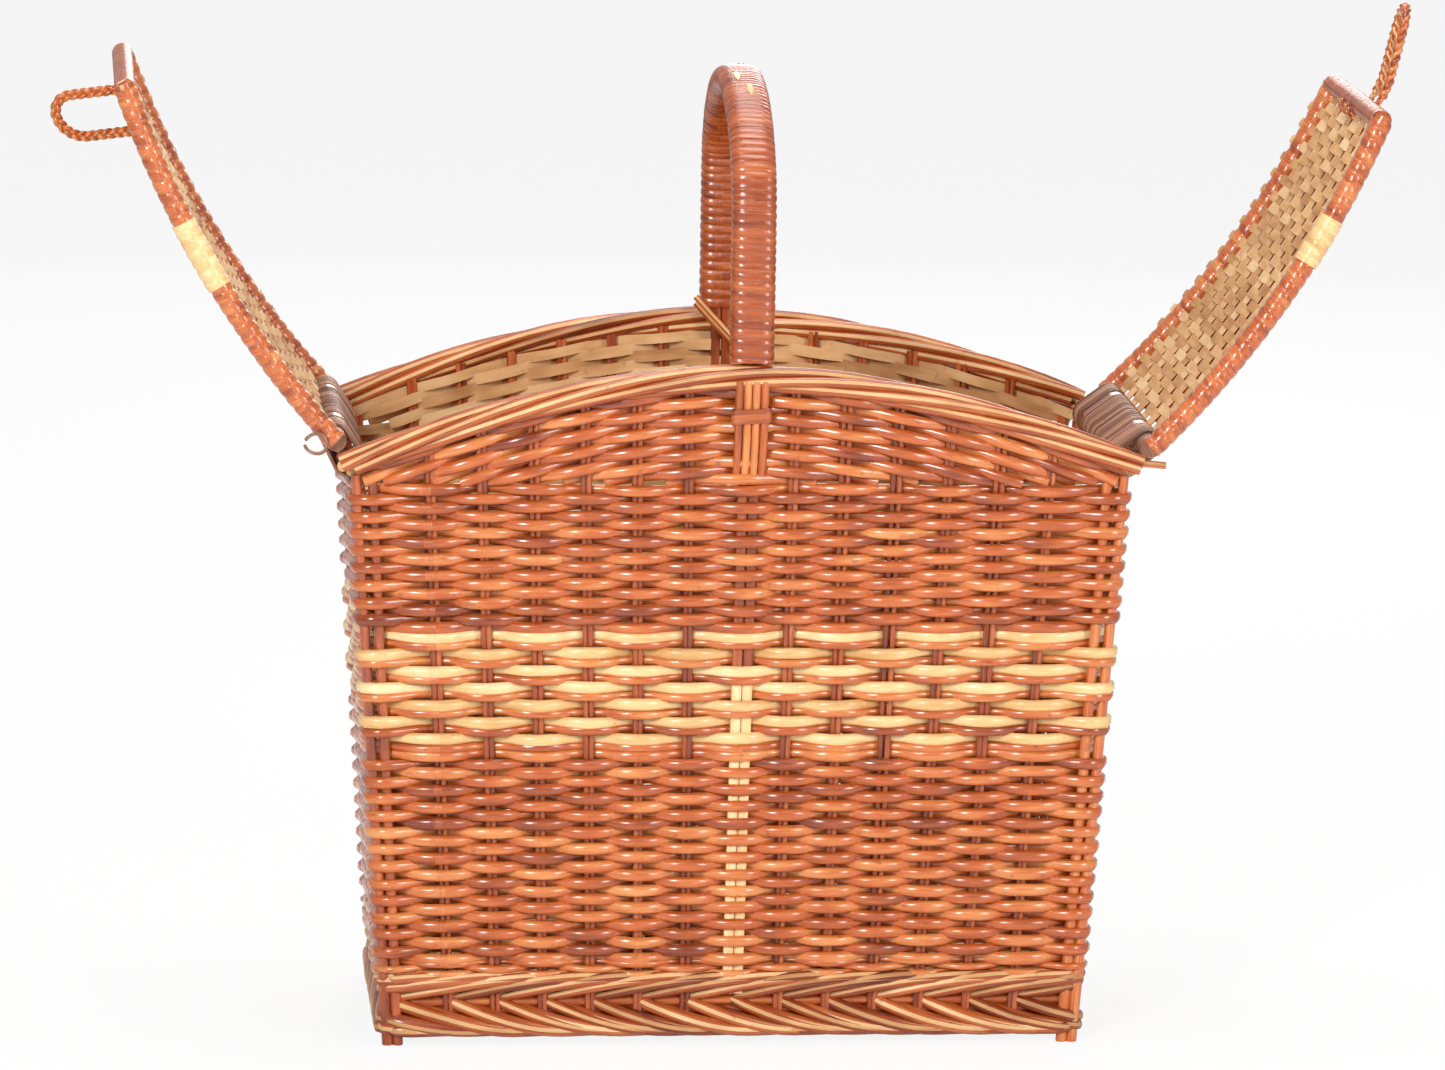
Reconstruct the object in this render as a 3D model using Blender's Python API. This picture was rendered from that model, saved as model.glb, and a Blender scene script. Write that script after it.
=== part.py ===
"""A rectangular willow picnic basket: woven walls with an arched rim, two bowed lids hinged on the end
rims, a wrapped bow handle across the middle and two plaited loops that fasten the lids.

Metres, +Z up. The origin is on the floor under the middle of the basket, +X is to the right and +Y to
the back. The lids stand open, as far as they lean back.
"""

import math

import bmesh
import bpy
from mathutils import Matrix, Vector

# Gap between pieces that touch.
FIT = 0.0003

# Basket body over the weave: at the floor, and at the top of the straight courses.
BASE_WIDTH = 0.354
BASE_DEPTH = 0.166
RIM_WIDTH = 0.390
RIM_DEPTH = 0.190
RIM_HEIGHT = 0.286
WALL = 0.011

# Tops of the bands of the wall. The corner posts stand a little below the foot border.
FOOT_CLEARANCE = 0.004
FOOT_BORDER_TOP = 0.0217
WALE_TOP = 0.042
LOWER_WEAVE_TOP = 0.151
CREAM_BAND_TOP = 0.212

# Top border. The front and back ones rise in an arch, and the end ones are straight.
BORDER_WIDTH = 0.400
BORDER_DEPTH = 0.200
BORDER_THICKNESS = 0.012
BORDER_HEIGHT = 0.014
BORDER_CORNER_HEIGHT = 0.294
CROWN_RISE = 0.047
ARCH_POWER = 1.8
END_BORDER_SETBACK = 0.006
END_BORDER_HEIGHT = 0.2955
END_BORDER_RADIUS = 0.0063

# Stakes that the weave goes round, and the paired posts at the corners.
BAYS_EACH_SIDE = 7
END_STAKES = 5
STAKE_RADIUS = 0.0026
POST_TOP_RADIUS = 0.0024
POST_BUTT_RADIUS = 0.0029
POST_PITCH_TOP = 0.008
POST_PITCH_BUTT = 0.005
POST_INSET = 0.0048

# Base, and the rings of rods round its edge.
FOOT_OVERHANG = 0.0015
WALE_OVERHANG = 0.001
FOOT_CORNER = 0.006
INNER_CORNER = 0.003
BASE_THICKNESS = 0.006
BASE_STICKS = 5
BASE_STICK_RADIUS = 0.0025

# Handle: two split core rods, the wrapping over them, and the rods and lashing at each foot.
HANDLE_SHIFT = 0.004
HANDLE_TOP = 0.484
HANDLE_ARC_RISE = 0.055
CORE_WIDTH = 0.0050
CORE_THICKNESS = 0.0050
WRAP_WIDTH = 0.023
WRAP_THICKNESS = 0.014
FOOT_RODS = 4
FOOT_ROD_RADIUS = 0.0022
FOOT_ROD_PITCH = 0.0042
FOOT_ROD_LOW = 0.303
LASHING_HEIGHT = 0.3225
LASHING_WIDTH = 0.007
LASHING_THICKNESS = 0.0012
LASHING_OVERLAP = 0.005

# Lids. The chord of each runs from its hinge rail to its free rail.
HINGE_REACH = 0.0135
LEFT_HINGE_LIFT = math.radians(62)
RIGHT_HINGE_LIFT = math.radians(40)
LID_HINGE_WIDTH = 0.184
LID_FREE_WIDTH = 0.161
LID_BOW = 0.010
LID_RAIL_RADIUS = 0.0056
LID_END_RAIL_RADIUS = 0.0054
LID_THICKNESS = 0.0048
LID_MEETING_GAP = 0.0045
LID_CLOSED_LIFT = 0.0095
LID_HINGE_CLEARANCE = 0.010
LEFT_LID_ELEVATION = math.radians(59.0)
RIGHT_LID_ELEVATION = math.radians(55.3)
HINGE_RING_Y = 0.0435
HINGE_RING_WIDTH = 0.008
HINGE_RING_THICKNESS = 0.0012
CREAM_WRAP_THICKNESS = 0.0005
WRAP_SIDES = 8
LEFT_CREAM_WRAP = (0.47, 0.65)
RIGHT_CREAM_WRAP = (0.60, 0.73)

# Plaited loops. The staple stands on the left lid and the hasp turns on the right lid's free rail.
PLAIT_RADIUS = 0.0028
STAPLE_FROM_END = 0.0140
STAPLE_SPAN = 0.022
STAPLE_RISE = 0.038
STAPLE_TILT = math.radians(24)
HASP_LENGTH = 0.0548
HASP_SPAN = 0.020
HASP_OFFSET = 0.0113
HASP_EYE_RADIUS = 0.0015
HASP_TILT = math.radians(10)
EYE_SIDES = 12

WILLOW_BROWN = (0.56, 0.25, 0.10)
WILLOW_DARK = (0.42, 0.19, 0.09)
WILLOW_CREAM = (0.88, 0.72, 0.46)
WILLOW_PITH = (0.76, 0.60, 0.44)
SKEIN_BROWN = (0.40, 0.29, 0.21)


def clear_scene():
    for obj in list(bpy.data.objects):
        bpy.data.objects.remove(obj, do_unlink=True)


def willow(name, colour, roughness):
    material = bpy.data.materials.new(name)
    material.use_nodes = True
    shader = material.node_tree.nodes["Principled BSDF"]
    shader.inputs["Base Color"].default_value = (*[c**2.2 for c in colour], 1.0)
    shader.inputs["Roughness"].default_value = roughness
    shader.inputs["Metallic"].default_value = 0.0
    return material


def add_object(name, mesh, material):
    obj = bpy.data.objects.new(name, mesh)
    bpy.context.scene.collection.objects.link(obj)
    mesh.materials.append(material)
    return obj


def finish_mesh(bm, name, smooth):
    bmesh.ops.recalc_face_normals(bm, faces=bm.faces)
    mesh = bpy.data.meshes.new(name)
    bm.to_mesh(mesh)
    bm.free()
    if smooth:
        mesh.shade_smooth()
        mesh.set_sharp_from_angle(angle=math.radians(50))
    return mesh


# ---- Shape of the walls -------------------------------------------------------------------------


def half_width(z):
    return (BASE_WIDTH + (RIM_WIDTH - BASE_WIDTH) * z / RIM_HEIGHT) / 2


def half_depth(z):
    return (BASE_DEPTH + (RIM_DEPTH - BASE_DEPTH) * z / RIM_HEIGHT) / 2


def arch_height(x):
    """Height of the front and back borders' centre line."""
    fall = (abs(x) / (BORDER_WIDTH / 2)) ** ARCH_POWER
    return BORDER_CORNER_HEIGHT + CROWN_RISE * (1 - fall)


def arch_slope(x):
    step = 0.0005
    return (arch_height(x + step) - arch_height(x - step)) / (2 * step)


def crown_top(x):
    """Top of the weave under the arched border."""
    below = BORDER_HEIGHT / 2 * math.hypot(1, arch_slope(x))
    return arch_height(x) - below - 2 * FIT


def post_reach(z):
    """How far the corner posts take up each end of the front wall."""
    return POST_INSET + post_pitch(z) + post_radius(z) + FIT


def post_pitch(z):
    up = min(1.0, z / RIM_HEIGHT)
    return POST_PITCH_BUTT + (POST_PITCH_TOP - POST_PITCH_BUTT) * up


def post_radius(z):
    up = min(1.0, z / RIM_HEIGHT)
    return POST_BUTT_RADIUS + (POST_TOP_RADIUS - POST_BUTT_RADIUS) * up


def stake_x(k, z):
    """Stake k of the front or back wall, counted from the middle."""
    return k / BAYS_EACH_SIDE * (half_width(z) - post_reach(z))


def stake_y(k, z):
    """Stake k of an end wall, counted from the middle."""
    clear = half_depth(z) - POST_INSET - post_radius(z)
    return k / ((END_STAKES + 1) / 2) * clear


def handle_x(z):
    """The handle leans a little to the right as it rises."""
    return HANDLE_SHIFT * min(1.0, z / arch_height(0))


def core_y(z):
    return half_depth(min(z, arch_height(0))) - WALL / 2


# ---- Solids -------------------------------------------------------------------------------------


def round_outline(x, y, radius, sides, turn=0.0):
    return [
        (
            x + radius * math.cos(turn + math.tau * i / sides),
            y + radius * math.sin(turn + math.tau * i / sides),
        )
        for i in range(sides)
    ]


def box_outline(x, y, width, depth):
    return [
        (x - width / 2, y - depth / 2),
        (x + width / 2, y - depth / 2),
        (x + width / 2, y + depth / 2),
        (x - width / 2, y + depth / 2),
    ]


def upright_slab(name, loops, low, high, material):
    """A slab between two heights. loops(z) gives its outline and then its holes at height z, and low
    and high give the height over a point."""
    bm = bmesh.new()
    bottom, top = [], []
    ground = loops(low(0.0))
    for number, loop in enumerate(ground):
        under = [bm.verts.new((x, y, low(x))) for x, y in loop]
        over = []
        for i, (x, _) in enumerate(loop):
            z = high(x)
            at = loops(z)[number][i]
            over.append(bm.verts.new((at[0], at[1], z)))
        bottom.append(under)
        top.append(over)
    edges = []
    for ring in bottom:
        edges += [bm.edges.new((ring[i - 1], ring[i])) for i in range(len(ring))]
    filled = bmesh.ops.triangle_fill(bm, edges=edges, use_beauty=True, normal=(0, 0, -1))
    over_of = {a: b for ring, lid in zip(bottom, top) for a, b in zip(ring, lid)}
    for face in [f for f in filled["geom"] if isinstance(f, bmesh.types.BMFace)]:
        bm.faces.new([over_of[v] for v in reversed(face.verts)])
    for ring, lid in zip(bottom, top):
        for i in range(len(ring)):
            bm.faces.new((ring[i - 1], ring[i], lid[i], lid[i - 1]))
    return add_object(name, finish_mesh(bm, name, False), material)


def frames_along(points, up):
    """A side and an up direction at each point of a route, for sweeping a section."""
    frames = []
    for i in range(len(points)):
        ahead = points[min(i + 1, len(points) - 1)] - points[max(i - 1, 0)]
        ahead.normalize()
        side = ahead.cross(up).normalized()
        frames.append((side, side.cross(ahead).normalized()))
    return frames


def swept_rings(bm, points, up, section):
    """Rings of vertices where section(i) gives the (side, up) points at route point i."""
    rings = []
    for i, (side, over) in enumerate(frames_along(points, up)):
        ring = [bm.verts.new(points[i] + side * a + over * b) for a, b in section(i)]
        rings.append(ring)
    return rings


def skin(bm, rings):
    for low, high in zip(rings, rings[1:]):
        for i in range(len(low)):
            bm.faces.new((low[i - 1], low[i], high[i], high[i - 1]))


def rod_into(bm, points, radii, sides, up):
    def section(i):
        return round_outline(0, 0, radii[i], sides, math.pi / sides)

    rings = swept_rings(bm, points, up, section)
    skin(bm, rings)
    bm.faces.new(rings[0])
    bm.faces.new(list(reversed(rings[-1])))


def rod(name, points, radius, sides, material, up=Vector((0, 1, 0))):
    bm = bmesh.new()
    rod_into(bm, points, [radius] * len(points), sides, up)
    return add_object(name, finish_mesh(bm, name, True), material)


def swept_bar(name, points, up, outline, material):
    bm = bmesh.new()
    rings = swept_rings(bm, points, up, lambda i: outline)
    skin(bm, rings)
    bm.faces.new(rings[0])
    bm.faces.new(list(reversed(rings[-1])))
    return add_object(name, finish_mesh(bm, name, True), material)


def swept_sleeve(name, points, up, outside, inside, material):
    """A tube whose outer and inner outlines have as many points."""
    bm = bmesh.new()
    outer = swept_rings(bm, points, up, lambda i: outside)
    inner = swept_rings(bm, points, up, lambda i: inside)
    skin(bm, outer)
    skin(bm, inner)
    for a, b in ((outer[0], inner[0]), (outer[-1], inner[-1])):
        for i in range(len(a)):
            bm.faces.new((a[i - 1], a[i], b[i], b[i - 1]))
    return add_object(name, finish_mesh(bm, name, True), material)


def helper(name, bm):
    """A guide or cutter that is no piece of the basket."""
    bmesh.ops.recalc_face_normals(bm, faces=bm.faces)
    mesh = bpy.data.meshes.new(name)
    bm.to_mesh(mesh)
    bm.free()
    obj = bpy.data.objects.new(name, mesh)
    bpy.context.scene.collection.objects.link(obj)
    obj.hide_render = True
    obj.display_type = "WIRE"
    return obj


def boolean(obj, other, operation):
    other.parent = obj
    modifier = obj.modifiers.new(operation.lower(), "BOOLEAN")
    modifier.object = other
    modifier.operation = operation
    modifier.solver = "EXACT"


# ---- Corner posts, stakes and borders -----------------------------------------------------------


def post_places(z, side_x, side_y):
    y = side_y * (half_depth(z) - POST_INSET)
    outer = half_width(z) - POST_INSET
    return [(side_x * outer, y), (side_x * (outer - post_pitch(z)), y)]


def corner_post(name, side_x, side_y, material):
    """Two tapered rods side by side, thickest at the floor, where they meet."""
    parts = []
    for number in range(2):
        bm = bmesh.new()
        rings = []
        for z in (0.0, RIM_HEIGHT):
            x, y = post_places(z, side_x, side_y)[number]
            outline = round_outline(x, y, post_radius(z), 8, math.pi / 8)
            rings.append([bm.verts.new((*at, z)) for at in outline])
        skin(bm, rings)
        bm.faces.new(rings[0])
        bm.faces.new(list(reversed(rings[-1])))
        parts.append(bm)
    mesh = finish_mesh(parts[0], name, True)
    post = add_object(name, mesh, material)
    boolean(post, helper(name + "_second_rod", parts[1]), "UNION")


def post_hole(z, side_x, side_y):
    """The space that a pair of posts takes, with its gap."""
    (ax, ay), (bx, _) = post_places(z, side_x, side_y)
    left, right = min(ax, bx), max(ax, bx)
    reach = (post_radius(z) + FIT) / math.cos(math.pi / 8)
    angles = [math.pi / 8 + math.pi / 4 * i for i in range(8)]
    hole = []
    for angle in angles:
        x = right if math.cos(angle) > 0 else left
        hole.append((x + reach * math.cos(angle), ay + reach * math.sin(angle)))
    return hole


def border_outline(thickness, height, sides):
    return [
        (
            thickness / 2 * math.cos(math.tau * (i + 0.5) / sides),
            height / 2 * math.sin(math.tau * (i + 0.5) / sides),
        )
        for i in range(sides)
    ]


def arched_border_points(side_y):
    y = side_y * (BORDER_DEPTH - BORDER_THICKNESS) / 2
    steps = 20
    points = []
    for i in range(steps + 1):
        x = BORDER_WIDTH * (i / steps - 0.5)
        points.append(Vector((x, y, arch_height(x))))
    return points


def arched_border_and_stakes(name, side_y, material):
    """The stakes of a long wall, whose tops turn down into the arched border."""
    outline = border_outline(BORDER_THICKNESS, BORDER_HEIGHT, 10)
    border = swept_bar(name, arched_border_points(side_y), Vector((0, 0, 1)), outline, material)
    stakes = bmesh.new()
    low = WALE_TOP + FIT
    for k in range(-BAYS_EACH_SIDE + 1, BAYS_EACH_SIDE):
        if k == 0:
            continue
        high = arch_height(stake_x(k, RIM_HEIGHT))
        points = [
            Vector((stake_x(k, z), side_y * (half_depth(z) - WALL / 2), z)) for z in (low, high)
        ]
        rod_into(stakes, points, [STAKE_RADIUS] * 2, 6, Vector((0, 1, 0)))
    boolean(border, helper(name + "_stakes", stakes), "UNION")
    slot = bmesh.new()
    middle = arch_height(0)
    bmesh.ops.create_cube(
        slot,
        size=1.0,
        matrix=Matrix.Translation((handle_x(middle), side_y * core_y(middle), middle))
        @ Matrix.Diagonal((*core_slot_size(), 2 * BORDER_HEIGHT, 1)),
    )
    boolean(border, helper(name + "_slot", slot), "DIFFERENCE")


def end_border_and_stakes(name, side_x, material):
    """The stakes of an end wall and the straight border that their tops make."""
    x = side_x * (BORDER_WIDTH / 2 - END_BORDER_SETBACK)
    reach = BORDER_DEPTH / 2 - BORDER_THICKNESS - FIT
    points = [Vector((x, y, END_BORDER_HEIGHT)) for y in (-reach, reach)]
    border = rod(name, points, END_BORDER_RADIUS, 10, material, Vector((0, 0, 1)))
    stakes = bmesh.new()
    low = WALE_TOP + FIT
    ends = END_STAKES // 2
    for k in range(-ends, ends + 1):
        points = [
            Vector((side_x * (half_width(z) - WALL / 2), stake_y(k, z), z))
            for z in (low, END_BORDER_HEIGHT)
        ]
        rod_into(stakes, points, [STAKE_RADIUS] * 2, 6, Vector((0, 1, 0)))
    boolean(border, helper(name + "_stakes", stakes), "UNION")


# ---- Woven walls --------------------------------------------------------------------------------


def core_slot_size():
    return 2 * CORE_WIDTH + 3 * FIT, CORE_THICKNESS + 2 * FIT


def stake_hole(x, y):
    """A hole through the weave that keeps its gap to a six-sided stake."""
    radius = STAKE_RADIUS + FIT / math.cos(math.pi / 6)
    return round_outline(x, y, radius, 6, math.pi / 6)


def long_wall_loops(side_y):
    def loops(z):
        reach = half_width(z) - post_reach(z)
        middle = side_y * (half_depth(z) - WALL / 2)
        found = [wall_outline(reach, middle)]
        for k in range(-BAYS_EACH_SIDE + 1, BAYS_EACH_SIDE):
            if k == 0:
                found.append(box_outline(handle_x(z), side_y * core_y(z), *core_slot_size()))
            else:
                found.append(stake_hole(stake_x(k, z), middle))
        return found

    return loops


def wall_outline(reach, middle):
    """A long wall's outline, with points along it so that its top can follow the arch."""
    steps = 2 * BAYS_EACH_SIDE
    xs = [reach * (2 * i / steps - 1) for i in range(steps + 1)]
    near = [(x, middle - WALL / 2) for x in xs]
    far = [(x, middle + WALL / 2) for x in reversed(xs)]
    return near + far


def end_wall_loops(side_x):
    def loops(z):
        reach = half_depth(z) - POST_INSET - post_radius(z) - FIT
        middle = side_x * (half_width(z) - WALL / 2)
        found = [box_outline(middle, 0, WALL, 2 * reach)]
        ends = END_STAKES // 2
        for k in range(-ends, ends + 1):
            found.append(stake_hole(middle, stake_y(k, z)))
        return found

    return loops


def woven_walls(brown, cream):
    levels = (
        ("lower_weave", WALE_TOP, LOWER_WEAVE_TOP, brown),
        ("cream_band", LOWER_WEAVE_TOP, CREAM_BAND_TOP, cream),
        ("upper_weave", CREAM_BAND_TOP, RIM_HEIGHT, brown),
    )
    walls = (
        ("front", long_wall_loops(-1)),
        ("back", long_wall_loops(1)),
        ("left", end_wall_loops(-1)),
        ("right", end_wall_loops(1)),
    )
    for wall, loops in walls:
        for level, low, high, material in levels:
            upright_slab(
                f"{wall}_{level}",
                loops,
                lambda x, low=low: low + FIT,
                lambda x, high=high: high,
                material,
            )
    for wall, side_y in (("front", -1), ("back", 1)):
        upright_slab(
            f"{wall}_crown_weave",
            long_wall_loops(side_y),
            lambda x: RIM_HEIGHT + FIT,
            crown_top,
            brown,
        )


# ---- Base ---------------------------------------------------------------------------------------


def rounded_box(half_x, half_y, radius, steps):
    """An outline with round corners, counted anticlockwise from the right."""
    points = []
    for turn, (sx, sy) in enumerate(((1, 1), (-1, 1), (-1, -1), (1, -1))):
        for i in range(steps + 1):
            angle = math.pi / 2 * (turn + i / steps)
            points.append(
                (
                    sx * (half_x - radius) + radius * math.cos(angle),
                    sy * (half_y - radius) + radius * math.sin(angle),
                )
            )
    return points


def foot_ring(name, low, high, overhang, material):
    """A ring of rods round the foot of the wall, with the corner posts standing in it."""

    def loops(z):
        half_x = half_width(z) + overhang
        half_y = half_depth(z) + overhang
        thick = WALL + 2 * overhang
        found = [rounded_box(half_x, half_y, FOOT_CORNER, 2)]
        found.append(rounded_box(half_x - thick, half_y - thick, INNER_CORNER, 2))
        for side_x in (-1, 1):
            for side_y in (-1, 1):
                found.append(post_hole(z, side_x, side_y))
        return found

    upright_slab(name, loops, lambda x: low, lambda x: high, material)


def base(brown, pith):
    """The woven base lies inside the wale, on sticks that reach the foot border."""
    foot_ring("foot_border", FOOT_CLEARANCE, FOOT_BORDER_TOP, FOOT_OVERHANG, brown)
    foot_ring("upsett_wale", FOOT_BORDER_TOP + FIT, WALE_TOP, WALE_OVERHANG, brown)
    base_low = FOOT_BORDER_TOP + FIT
    inset = WALL + WALE_OVERHANG + FIT

    def weave_loops(z):
        return [rounded_box(half_width(base_low) - inset, half_depth(base_low) - inset, INNER_CORNER, 2)]

    upright_slab(
        "base_weave",
        weave_loops,
        lambda x: base_low,
        lambda x: base_low + BASE_THICKNESS,
        pith,
    )
    stick_z = base_low - FIT - BASE_STICK_RADIUS
    reach = half_width(stick_z) - WALL - FOOT_OVERHANG - FIT
    clear = half_depth(stick_z) - WALL
    for number in range(BASE_STICKS):
        y = clear * (2 * (number + 1) / (BASE_STICKS + 1) - 1)
        points = [Vector((x, y, stick_z)) for x in (-reach, reach)]
        rod(f"base_stick_{number + 1}", points, BASE_STICK_RADIUS, 6, brown, Vector((0, 0, 1)))


# ---- Handle -------------------------------------------------------------------------------------


def bow_points(low, steps):
    """The handle's centre line from a height on the front wall over to the same on the back."""
    crown = arch_height(0)
    half_span = core_y(crown)
    spring = HANDLE_TOP - WRAP_THICKNESS / 2 - HANDLE_ARC_RISE
    front = [z for z in (low, crown) if z >= low]
    leg = [Vector((handle_x(z), -core_y(z), z)) for z in dict.fromkeys(front)]
    arc = []
    for i in range(steps + 1):
        angle = math.pi * i / steps
        y = -half_span * math.cos(angle)
        arc.append(Vector((HANDLE_SHIFT, y, spring + HANDLE_ARC_RISE * math.sin(angle))))
    back = [Vector((p.x, -p.y, p.z)) for p in reversed(leg)]
    return leg + arc + back


def wrap_outline(width, thickness, sides):
    """A flat oval."""
    points = []
    for i in range(sides):
        angle = math.tau * (i + 0.5) / sides
        a = math.copysign(abs(math.cos(angle)) ** 0.7, math.cos(angle))
        b = math.copysign(abs(math.sin(angle)) ** 0.7, math.sin(angle))
        points.append((width / 2 * a, thickness / 2 * b))
    return points


def slot_outline(width, thickness, sides):
    """A box whose outline has as many points as a wrapping's, for the space inside it."""
    points = []
    for i in range(sides):
        angle = math.tau * (i + 0.5) / sides
        c, s = math.cos(angle), math.sin(angle)
        scale = 1 / max(abs(c) / (width / 2), abs(s) / (thickness / 2))
        points.append((c * scale, s * scale))
    corner = [(width / 2 * sx, thickness / 2 * sy) for sx, sy in ((1, 1), (-1, 1), (-1, -1), (1, -1))]
    for at in corner:
        nearest = min(range(sides), key=lambda i: math.dist(points[i], at))
        points[nearest] = at
    return points


def handle_cores(cream):
    """Two split rods side by side, from above the wale in the front wall to the same in the back."""
    middle = bow_points(WALE_TOP + FIT, 14)
    for name, side in (("handle_core_left", -1), ("handle_core_right", 1)):
        shift = side * (CORE_WIDTH + FIT) / 2
        points = [p + Vector((shift, 0, 0)) for p in middle]
        outline = box_outline(0, 0, CORE_THICKNESS, CORE_WIDTH)
        swept_bar(name, points, Vector((1, 0, 0)), outline, cream)


def handle_wrap(brown):
    """Skein wound close over the core rods, from one border to the other."""
    low = arch_height(0) + BORDER_HEIGHT / 2 + FIT
    points = bow_points(low, 14)
    sides = 12
    outside = [(b, a) for a, b in wrap_outline(WRAP_WIDTH, WRAP_THICKNESS, sides)]
    width, thickness = core_slot_size()
    inside = [(b, a) for a, b in slot_outline(width, thickness, sides)]
    swept_sleeve("handle_wrap", points, Vector((1, 0, 0)), outside, inside, brown)


def foot_rods(name, side_y, brown):
    """Rods side by side that lie on the outside of the wall under the border."""

    def loops(z):
        y = side_y * (half_depth(z) + FIT + FOOT_ROD_RADIUS)
        first = handle_x(z) - FOOT_ROD_PITCH * (FOOT_RODS - 1) / 2
        near, far = [], []
        for number in range(FOOT_RODS):
            x = first + number * FOOT_ROD_PITCH
            reach = math.asin(FOOT_ROD_PITCH / 2 / FOOT_ROD_RADIUS)
            for i in range(4):
                angle = reach * (2 * i / 3 - 1)
                across = FOOT_ROD_RADIUS * math.sin(angle)
                out = FOOT_ROD_RADIUS * math.cos(angle)
                if i < 3 or number == FOOT_RODS - 1:
                    near.append((x + across, y - out))
                    far.append((x + across, y + out))
        return [near + list(reversed(far))]

    top = arch_height(0) - BORDER_HEIGHT / 2 - FIT
    upright_slab(name, loops, lambda x: FOOT_ROD_LOW, lambda x: top, brown)


def lashing(name, side_y, dark):
    """A skein over the foot rods, whose ends go into the wall at each side."""
    half = FOOT_ROD_PITCH * (FOOT_RODS - 1) / 2 + FOOT_ROD_RADIUS + FIT

    def loops(z):
        x = handle_x(z)
        wall = side_y * (half_depth(z) + FIT)
        rods = side_y * (half_depth(z) + 2 * FOOT_ROD_RADIUS + 2 * FIT)
        front = rods + side_y * LASHING_THICKNESS
        ledge = wall + side_y * LASHING_THICKNESS
        wide = half + LASHING_THICKNESS
        return [
            [
                (x - wide - LASHING_OVERLAP, wall),
                (x - half, wall),
                (x - half, rods),
                (x + half, rods),
                (x + half, wall),
                (x + wide + LASHING_OVERLAP, wall),
                (x + wide + LASHING_OVERLAP, ledge),
                (x + wide, ledge),
                (x + wide, front),
                (x - wide, front),
                (x - wide, ledge),
                (x - wide - LASHING_OVERLAP, ledge),
            ]
        ]

    low = LASHING_HEIGHT - LASHING_WIDTH / 2
    upright_slab(name, loops, lambda x: low, lambda x: low + LASHING_WIDTH, dark)


# ---- Lids ---------------------------------------------------------------------------------------


def hinge_place(side):
    """Distance from the middle, and height, of a lid's hinge axis: it lies beside its end border."""
    lift = RIGHT_HINGE_LIFT if side > 0 else LEFT_HINGE_LIFT
    out = BORDER_WIDTH / 2 - END_BORDER_SETBACK + HINGE_REACH * math.cos(lift)
    return out, END_BORDER_HEIGHT + HINGE_REACH * math.sin(lift)


def lid_free_x(side):
    """Where a closed lid's free rail lies: the two meet under the handle."""
    return HANDLE_SHIFT + side * (LID_END_RAIL_RADIUS + LID_MEETING_GAP / 2)


def lid_chord(side):
    out, height = hinge_place(side)
    return math.hypot(out - side * lid_free_x(side), arch_height(0) + LID_CLOSED_LIFT - height)


def lid_arc(chord, along):
    """Height of the bowed lid over its chord, at a distance from the hinge."""
    radius = chord**2 / (8 * LID_BOW) + LID_BOW / 2
    return math.sqrt(radius**2 - (along - chord / 2) ** 2) - radius + LID_BOW


def lid_end_slope(chord):
    step = 0.0005
    return math.atan((lid_arc(chord, chord) - lid_arc(chord, chord - step)) / step)


def lid_half_width(chord, along):
    """Half the lid's width over its side rails."""
    return (LID_HINGE_WIDTH + (LID_FREE_WIDTH - LID_HINGE_WIDTH) * along / chord) / 2


def lid_rail_points(chord, side_y, start, end, steps):
    points = []
    for i in range(steps + 1):
        along = start + (end - start) * i / steps
        y = side_y * (lid_half_width(chord, along) - LID_RAIL_RADIUS)
        points.append(Vector((along, y, lid_arc(chord, along))))
    return points


def free_clearance(side):
    """How far the woven sheet stays from the free rail's centre: the hasp's eyes turn on the right."""
    eyes = eye_reach() + HASP_EYE_RADIUS if side > 0 else LID_END_RAIL_RADIUS
    return eyes + FIT


def eye_reach():
    """Radius of the hasp's eyes, about the free rail, to the middle of their thickness."""
    return (LID_END_RAIL_RADIUS + FIT + HASP_EYE_RADIUS) / math.cos(math.pi / EYE_SIDES)


def lid_panel(name, chord, side_y, stretch, material):
    """The woven sheet between the rails, bowed like them and cut back for the peeled skein."""
    steps = 8
    start, end = LID_HINGE_CLEARANCE, chord - free_clearance(side_y)
    bm = bmesh.new()
    rings = []
    for i in range(steps + 1):
        along = start + (end - start) * i / steps
        half = lid_half_width(chord, along) - 2 * LID_RAIL_RADIUS - FIT
        z = lid_arc(chord, along)
        corners = ((-half, -1), (half, -1), (half, 1), (-half, 1))
        rings.append([bm.verts.new((along, y, z + k * LID_THICKNESS / 2)) for y, k in corners])
    skin(bm, rings)
    bm.faces.new(rings[0])
    bm.faces.new(list(reversed(rings[-1])))
    panel = add_object(name, finish_mesh(bm, name, False), material)
    start, end = chord * stretch[0] - FIT, chord * stretch[1] + FIT
    points = lid_rail_points(chord, side_y, start, end, 3)
    cut = bmesh.new()
    rod_into(cut, points, [wrap_radius() + FIT] * len(points), WRAP_SIDES, Vector((0, 1, 0)))
    boolean(panel, helper(name + "_wrap_space", cut), "DIFFERENCE")
    return panel


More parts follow.
